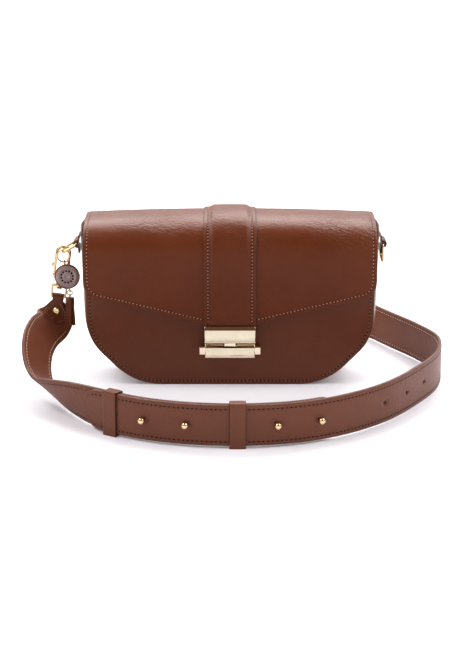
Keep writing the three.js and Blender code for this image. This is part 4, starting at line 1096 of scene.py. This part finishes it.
def build_charm():
    """Wire ring, disc and tassel that hang from the left ring."""
    tip = ring_tip()
    axes = ((tip[0], CHARM_Y, tip[2]), *leaned(-CHARM_TILT))
    up = axes[3]
    ring_z = RING_WIRE + GAP - CHARM_RING
    lug_z = ring_z - CHARM_RING - CHARM_WIRE - 0.2
    disc_z = lug_z - 2 - DISC_R
    low_z = disc_z - DISC_R - 1.5
    ring = torus(CHARM_RING + CHARM_WIRE, CHARM_WIRE + 0.2, ring_z, "y")
    ring = make("charm_ring_wire", *placed(ring, *axes), [DEEP_GOLD], body="charm_ring")
    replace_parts(ring, "charm_ring")
    build_disc(axes, lug_z, disc_z, low_z)
    build_face(axes, disc_z)
    build_tassel((tip[0] + low_z * up[0], CHARM_Y, tip[2] + low_z * up[2]))


def build_disc(axes, lug_z, disc_z, low_z):
    """Cup with a rolled rim, and its upper and lower lugs."""
    cup = lathe([
        (0, -1.3), (9, -1.3), (11.1, -1.15), (11.6, -0.8), (DISC_R, -0.3), (DISC_R, 0.7), (11.6, 1.1),
        (11.3, 1.35), (10.95, 1.35), (10.7, 1.1), (10.7, 0.3), (0, 0.3),
    ], 72)
    parts = [turned_front(cup, 0, disc_z), torus(2, 0.7, lug_z, "x"), torus(1.7, 0.6, low_z, "x")]
    verts, faces, marks = joined(parts, [0, 1, 1])
    place = placed((verts, faces), *axes)
    disc = make("charm_disc_metal", *place, [BRONZE, DEEP_GOLD], marks, "charm")
    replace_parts(disc, "charm_disc")


def build_face(axes, disc_z, dots=12):
    """Plate in the cup, with two raised rings and a circle of dots."""
    rings = [(0, 0), (2.1, 0), (2.4, 0.25), (2.9, 0.25), (3.2, 0)]
    rings += [(7.6, 0), (7.9, 0.28), (8.5, 0.28), (8.8, 0), (10.1, 0)]
    rings += [(10.4, -0.2), (10.4, -0.6), (0, -0.6)]
    parts = [turned_front(lathe(rings, 72), -1.3, disc_z)]
    for k in range(dots):
        turn = 2 * math.pi * k / dots
        dot = lathe([(1.0, -0.1), (0.95, 0.15), (0.6, 0.35), (0, 0.42)], 14)
        dot = dot[0] + (5.5 * math.cos(turn), 5.5 * math.sin(turn), 0), dot[1]
        parts.append(turned_front(dot, -1.3, disc_z))
    verts, faces, marks = joined(parts, [0] + [1] * dots)
    plate = make("charm_face_plate", *placed((verts, faces), *axes), [FACE, HOLE], marks, "charm")
    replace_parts(plate, "charm_face")


def build_tassel(top):
    """Link, cap and leather strips of the tassel, hung from a point."""
    axes = (top, *leaned(TASSEL_LEAN))
    link = placed(torus(2.4, 0.55, -2.4, "y"), *axes)
    link = make("charm_link_wire", *link, [DEEP_GOLD], body="tassel")
    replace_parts(link, "charm_link")
    upper = [(0, -6.6), (3.3, -6.6), (3.9, -6.9), (4.15, -7.6), (4.1, -10), (4.25, -10.4)]
    cap = lathe([*upper, (4.1, -10.8), (4.3, -13.4), (4.1, -13.9), (0, -13.9)], 36)
    verts, faces, marks = joined([cap, torus(1.7, 0.6, -5, "x")], [0, 1])
    place = placed((verts, faces), *axes)
    cap = make("tassel_cap_leather", *place, [BODY, DEEP_GOLD], marks, "tassel")
    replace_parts(cap, "tassel_cap")
    strips = joined([tassel_strip(k) for k in range(TASSEL_STRIPS)])[:2]
    fringe = make("tassel_strips", *placed(strips, *axes), [BODY], body="tassel", sharp=30)
    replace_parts(fringe, "tassel_fringe")


def tassel_strip(k, half=1.15):
    """One strip of the tassel, splayed a little and no two alike."""
    fall = np.linspace(0, 1, 14)
    turn = 2 * math.pi * k / TASSEL_STRIPS + 0.2
    radial = np.array([math.cos(turn), math.sin(turn)])
    side = np.array([-math.sin(turn), math.cos(turn)])
    spread = (1.15 + 0.35 * math.sin(3.1 * k)) * fall**1.4
    splay = 3.2 + spread + 0.3 * np.sin(2.4 * fall + 1.7 * k)
    drift = 0.5 * math.sin(2.3 * k) * fall
    z = -13.4 - (19.4 + 0.5 * math.sin(1.9 * k)) * fall
    ring = []
    for r, w in ((0.55, -half), (0.55, half), (-0.45, half), (-0.45, -half)):
        across = drift[:, None] + w * (1 + 0.1 * fall[:, None])
        flat = radial * (splay[:, None] + r) + side * across
        ring.append(np.column_stack([flat, z]))
    return rings_solid(np.stack(ring, 1))


# ---------- strap ----------
STRAP_POINTS = [p for p, _ in STRAP_RISE] + [(x, y, STRAP_Z) for x, y in STRAP_FLOOR]
STRAP_UPS = [w for _, w in STRAP_RISE] + [(0, 0, 1)] * len(STRAP_FLOOR)
STRAP_LINE = spline(STRAP_POINTS, 6000, centripetal=True)
STRAP_W = spline(STRAP_UPS, 6000)
STRAP_S = lengths(STRAP_LINE)
STRAP_T = unit(np.gradient(STRAP_LINE, axis=0))
STRAP_LENGTH = float(STRAP_S[-1])


def strap_frame(distance):
    """Place, along, up the width, and outwards, at distances along the strap."""
    d = np.asarray(distance, float)
    inside = np.clip(d, 0, STRAP_LENGTH)
    along = unit(columns_of(inside, STRAP_S, STRAP_T))
    place = columns_of(inside, STRAP_S, STRAP_LINE) + along * (d - inside)[..., None]
    up = columns_of(inside, STRAP_S, STRAP_W)
    up = unit(up - np.sum(up * along, -1, keepdims=True) * along)
    return place, along, up, np.cross(along, up)


def strap_at(x):
    span = (STRAP_S > 0.15 * STRAP_LENGTH) & (STRAP_S < 0.6 * STRAP_LENGTH)
    return float(np.interp(x, STRAP_LINE[span, 0], STRAP_S[span]))


def tip_half(d):
    inside = np.clip(d + 3, 0, STRAP_HALF)
    return np.sqrt(STRAP_HALF**2 - (STRAP_HALF - inside) ** 2)


def shoulder_half(d):
    return 6 + (STRAP_HALF - 6) * np.clip(d / 14, 0, 1)


def strap_point(distance, across, lift):
    place, _, up, out = strap_frame(distance)
    return place + up * np.asarray(across, float)[..., None] + out * np.asarray(lift, float)[..., None]


LONG_START, SHORT_END = strap_at(LONG_TIP_X), strap_at(SHORT_TIP_X)
STRAP_EDGES = edge_list(0, 0.3, 0.7, 1.2, 2, 2.7, 3.2, 3.5, 3.8, 4.3, 5, 7, 10, 14)


def edge_columns(half, edges, share):
    """Places across a strip with these half widths, close together at its two edges."""
    near = half[:, None] - edges * share
    return np.concatenate([-near, np.zeros((len(half), 1)), near[:, ::-1]], 1)


def strap_ply(name, distances, half_of, ply, node):
    """One ply of the strap, with its stitch grooves on both faces."""
    half = half_of(distances)
    across = edge_columns(half, STRAP_EDGES, (half / STRAP_HALF)[:, None])
    inset = np.concatenate([STRAP_EDGES, [STRAP_HALF], STRAP_EDGES[::-1]])[None]
    d = np.repeat(distances[:, None], across.shape[1], 1)
    swell = (STRAP_THICK / 2 - relief(inset, 0.5, 1.6, 0.24)) * np.ones_like(across)
    outer = strap_point(d, across, ply + swell)
    inner = strap_point(d, across, ply - swell)
    obj = slab(name, outer, inner, STRAP_HIDE, "strap", 0.3)
    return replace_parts(obj, node)


def close_ends(start, end, step=3.2, margin=18):
    """Distances along a ply, close together at its two ends."""
    near = np.array([0, 0.4, 0.9, 1.6, 2.5, 3.6, 5, 6.6, 8.4, 10.4, 12.6, 15])
    count = int((end - start - 2 * margin) / step)
    middle = np.linspace(start + margin, end - margin, count)
    return np.concatenate([start + near, middle, end - near[::-1]])


def keyhole(distance, radius, slit):
    """Cutter for a stud hole, with or without its slit."""
    place, along, up, out = (v[0] for v in strap_frame([distance]))
    turn = np.linspace(0, 2 * math.pi, 20, endpoint=False)
    ring = np.stack([radius * np.cos(turn), radius * np.sin(turn)], -1)
    if slit:
        ring[[19, 0, 1]] = ((radius * 0.98, -0.28), (radius + 4.5, 0), (radius * 0.98, 0.28))
    rings = [np.column_stack([ring, np.full(20, h)]) for h in (-9, 9)]
    return placed(rings_solid(rings), place, along, up, out)


def strap_run(start, end, side, ply, face):
    """Stitch line along one edge of a ply, on its outer (1) or inner (-1) face."""
    d = np.arange(start, end, 2.0)
    across = np.full_like(d, side * (STRAP_HALF - STITCH_INSET))
    points = strap_point(d, across, np.full_like(d, ply + face * (STRAP_THICK / 2 - 0.2)))
    return points, strap_frame(d)[3] * face


def tip_run(centre, back, ply, face):
    """Stitch line round the tip of a ply."""
    turn = np.radians(np.linspace(-88, 88, 40))
    reach = STRAP_HALF - STITCH_INSET
    d = centre + back * reach * np.cos(turn)
    lift = np.full_like(d, ply + face * (STRAP_THICK / 2 - 0.2))
    return strap_point(d, reach * np.sin(turn), lift), strap_frame(d)[3] * face


def build_straps():
    """The two plies with their holes: the long one outside, the short one inside."""
    short_half = lambda d: np.minimum(shoulder_half(d), tip_half(SHORT_END - d))
    long_half = lambda d: np.minimum(tip_half(d - LONG_START), shoulder_half(STRAP_LENGTH - d))
    rows = close_ends(0, SHORT_END)
    short = strap_ply("strap_short_leather", rows, short_half, -PLY_LIFT, "strap_short")
    rows = close_ends(LONG_START, STRAP_LENGTH)
    long = strap_ply("strap_long_leather", rows, long_half, PLY_LIFT, "strap_long")
    drilled(short, [keyhole(strap_at(x), 1.5, False) for x in STUD_X])
    last = strap_at(STUD_X[-1])
    holes = [strap_at(x) for x in STUD_X] + [last + d for d in FREE_HOLES]
    drilled(long, [keyhole(d, 2, True) for d in holes])


def build_strap_stitching(clear=24):
    """Dark seams on the outer face, their darkness partly painted shade, and light ones on the inner,
    clear of the end tabs.
    """
    dark, light = [], []
    for side in (-1, 1):
        dark.append(strap_run(LONG_START + 15, STRAP_LENGTH - clear, side, PLY_LIFT, 1))
        dark.append(strap_run(clear, LONG_START - 4, side, -PLY_LIFT, 1))
        light.append(strap_run(clear, SHORT_END - 15, side, -PLY_LIFT, -1))
        light.append(strap_run(SHORT_END + 4, STRAP_LENGTH - clear, side, PLY_LIFT, -1))
    dark.append(tip_run(LONG_START + 14.8, -1, PLY_LIFT, 1))
    light.append(tip_run(SHORT_END - 14.8, 1, -PLY_LIFT, -1))
    for name, runs, colour in (("outer", dark, THREAD_DEEP), ("inner", light, THREAD_LIGHT)):
        seam = [colour, HOLE]
        stitches(f"strap_stitching_{name}", runs, seam, 3.9, 2.9, thread=0.29, body="strap")


def build_studs(ball=3.0, neck=1.2, head=3.4):
    """Ball studs through both plies, each with a flat screw head on the inner side."""
    face = PLY_LIFT + STRAP_THICK / 2
    turn = np.radians(np.linspace(-62, 88, 14))
    bulb = [(ball * math.cos(a), face + 3.35 + ball * math.sin(a)) for a in turn]
    profile = [(0, -face - 1.1), (head - 0.3, -face - 1.1), (head, -face - 0.8)]
    profile += [(head, -face - 0.3), (neck, -face - 0.2), (neck, face + 0.4)]
    solid = lathe([*profile, *bulb, (0, face + 6.35)], 32)
    for k, x in enumerate(STUD_X, 1):
        place, along, up, out = (v[0] for v in strap_frame([strap_at(x)]))
        stud = placed(solid, place, along, up, out)
        stud = make(f"stud_{k}", *stud, [STUD_GOLD], body="strap")
        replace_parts(stud, f"strap_stud_{k}")


def build_keepers(half=6.5, wall=0.8):
    """Leather loops round both plies."""
    tall = STRAP_HALF + GAP + 0.1 + wall
    deep = PLY_LIFT + STRAP_THICK / 2 + 0.5 + wall
    edges = edge_list(0, 0.3, 0.7, 1.2, 2, 3.5)
    across = np.concatenate([-half + edges, [0], half - edges[::-1]])
    rise = wall - relief(half - np.abs(across), 0.35, 1.3, 0.0)
    loop = rectangle_loop(deep, tall, -tall, 1.6, 8)
    path = spline([(-deep, 2.0), *loop[16:], *loop[:16], (-deep, 2.4)], 160)
    run = unit(np.gradient(path, axis=0))
    side = np.stack([run[:, 1], -run[:, 0]], -1)
    for name, x in (("keeper_left", KEEPER_X[0]), ("keeper_middle", KEEPER_X[1])):
        place, along, up, out = (v[0] for v in strap_frame([strap_at(x)]))

        def surface(lift):
            flat = path[:, None] + side[:, None] * lift[None, :, None]
            ring = place + flat[..., :1] * out + flat[..., 1:] * up
            return ring + across[None, :, None] * along

        inner = surface(np.full_like(across, -0.75))
        obj = slab(f"{name}_leather", surface(rise), inner, [STRAP, EDGE, UNDER], name)
        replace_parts(obj, name)


TAB_WRAP = STRAP_THICK / 2 + 0.6 + 0.7
TAB_LENGTH, TAB_RIVET_AT = 24.0, 9.3


def end_tab_line():
    """Distance along the strap, lift off its middle, and half width, along an end tab that
    runs up the outer face, round the swivel ring's bar and back down the inner face."""
    turn = np.linspace(0, math.pi, 22)
    bend = -BAR_PAST_END - TAB_WRAP * np.sin(turn)
    at = np.concatenate([np.linspace(5, -4, 14), bend, np.linspace(-3.9, TAB_LENGTH, 56)])
    lift = np.concatenate([np.full(14, TAB_WRAP), TAB_WRAP * np.cos(turn), np.full(56, -TAB_WRAP)])
    point = 1.2 + 1.5 * (TAB_LENGTH - at)
    body = np.minimum(np.minimum(4.7 + 0.55 * np.maximum(at, 0), 10.2), point)
    half = np.where(lift > -TAB_WRAP + 0.01, 5.0, np.maximum(body, 0.8))
    return at, lift, half


def build_end_tab(name, sign, base, ply):
    """Leather tab folded round a swivel ring, with its stitched inner leaf."""
    at, lift, half = end_tab_line()
    run = unit(np.stack([np.gradient(at), np.gradient(lift)], -1))
    edges = edge_list(0, 0.3, 0.7, 1.2, 1.6, 2.0, 2.4, 3.2)
    across = edge_columns(half, edges, np.minimum(1, half / 6)[:, None])
    inset = np.concatenate([edges, [9.0], edges[::-1]])

    def surface(height):
        a = at[:, None] + height[None] * run[:, 1:]
        off = lift[:, None] - height[None] * run[:, :1]
        return strap_point(base + sign * a, across, ply + off)

    outer = surface(0.7 - relief(inset, 0.25, 1.0, 0.12, 1.9))
    inner = surface(np.full_like(inset, -0.65))
    tab = slab(f"{name}_end_tab_leather", outer, inner, HIDE, "strap", 0.25)
    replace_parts(tab, f"{name}_end_tab")
    rows = (lift < -TAB_WRAP + 0.01) & (at > 0.5) & (at < TAB_LENGTH - 2)
    d, edge = base + sign * at[rows], np.maximum(half[rows] - 1.9, 0.2)
    top = np.full(len(d), ply - TAB_WRAP - 0.62)
    runs = [(strap_point(d, s * edge, top), -strap_frame(d)[3]) for s in (-1, 1)]
    seam = dict(pitch=2.6, long=1.9, thread=0.24, hole=0.3, body="strap")
    stitches(f"{name}_end_tab_stitching", runs, [THREAD, HOLE], **seam)


def build_end_rivet(name, sign, base, ply):
    """Domed rivet with a dimple, on the tab's inner leaf."""
    foot = [(0, -0.35), (3.3, -0.35), (3.4, 0), (3.3, 0.5), (2.9, 1.0)]
    dome = [(2.3, 1.45), (1.7, 1.6), (1.2, 1.45), (0.7, 1.35), (0, 1.35)]
    place, along, up, out = (v[0] for v in strap_frame([base + sign * TAB_RIVET_AT]))
    face = STRAP_THICK / 2 + 0.6 + 1.4 + 1.1
    knob = placed(lathe([*foot, *dome], 32), place + out * (ply - face), along, up, -out)
    knob = make(f"{name}_end_rivet", *knob, [STUD_GOLD], body="strap")
    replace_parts(knob, f"{name}_tab_rivet")


def build_end_tabs():
    for end in (("left", 1, 0.0, -PLY_LIFT), ("right", -1, STRAP_LENGTH, PLY_LIFT)):
        build_end_tab(*end)
        build_end_rivet(*end)


# ---------- studio ----------
def area_light(name, place, target, size, power, color=(1, 1, 1)):
    data = bpy.data.lights.new(name, "AREA")
    data.shape, data.size, data.size_y = "RECTANGLE", size[0], size[1]
    data.energy, data.color = power, color
    lamp = bpy.data.objects.new(name, data)
    lamp.location = place
    lamp.rotation_euler = (Vector(target) - Vector(place)).to_track_quat("-Z", "Y").to_euler()
    bpy.context.collection.objects.link(lamp)


def build_world():
    """A pale surround, bright at the horizon and dimmer overhead."""
    world = bpy.data.worlds.new("studio")
    world.use_nodes = True
    tree = world.node_tree
    place = tree.nodes.new("ShaderNodeTexCoord")
    parts = tree.nodes.new("ShaderNodeSeparateXYZ")
    height = tree.nodes.new("ShaderNodeValToRGB")
    height.color_ramp.elements[0].position = 0.02
    height.color_ramp.elements[0].color = (0.92, 0.95, 1.0, 1)
    height.color_ramp.elements[1].position = 0.5
    height.color_ramp.elements[1].color = (0.15, 0.08, 0.05, 1)
    tree.links.new(place.outputs["Generated"], parts.inputs[0])
    tree.links.new(parts.outputs["Z"], height.inputs["Fac"])
    tree.links.new(height.outputs["Color"], tree.nodes["Background"].inputs["Color"])
    bpy.context.scene.world = world


def build_studio():
    mesh = bpy.data.meshes.new("floor")
    mesh.from_pydata([(-4, -4, 0), (4, -4, 0), (4, 4.3, 0), (-4, 4.3, 0)], [], [(0, 1, 2, 3)])
    n = Nodes("floor_paper")
    mesh.materials.append(n.set(
        Base_Color=(0.78, 0.78, 0.82), Roughness=0.9, Specular_IOR_Level=0.1,
        Emission_Color=(0.93, 0.93, 1.0), Emission_Strength=0.14,
    ))
    floor = bpy.data.objects.new("floor", mesh)
    bpy.context.collection.objects.link(floor)
    build_world()
    area_light("softbox_behind", (0, 0.95, 1.25), (0, 0.05, 0.1), (2.2, 1.0), 42)
    area_light("softbox_far", (0, 2.9, 2.1), (0, 2.7, 0), (7, 2.6), 130)
    area_light("front_card", (0, -2.5, 0.55), (0, 0, 0.1), (4.5, 1.0), 5)
    area_light("fill_left", (-1.1, -0.32, 1.4), (0, -0.08, 0.05), (1.1, 1.0), 19)
    area_light("fill_right", (1.1, -0.32, 1.4), (0, -0.08, 0.05), (1.1, 1.0), 18)
    camera = bpy.data.cameras.new("camera")
    camera.sensor_fit, camera.sensor_height = "VERTICAL", 36
    camera.lens = 98.1
    eye = bpy.data.objects.new("camera", camera)
    eye.location = (-0.0027, -1.575, 0.4992)
    eye.rotation_euler = (math.radians(74), 0, 0)
    bpy.context.collection.objects.link(eye)
    bpy.context.scene.camera = eye
    bpy.context.scene.view_settings.view_transform = "Standard"


build_studio()
build_body()
build_linings()
build_pocket()
build_base_board()
build_flap()
build_strip()
build_clasp()
build_tabs()
build_rings()
build_hooks()
build_charm()
build_straps()
build_strap_stitching()
build_studs()
build_keepers()
build_end_tabs()
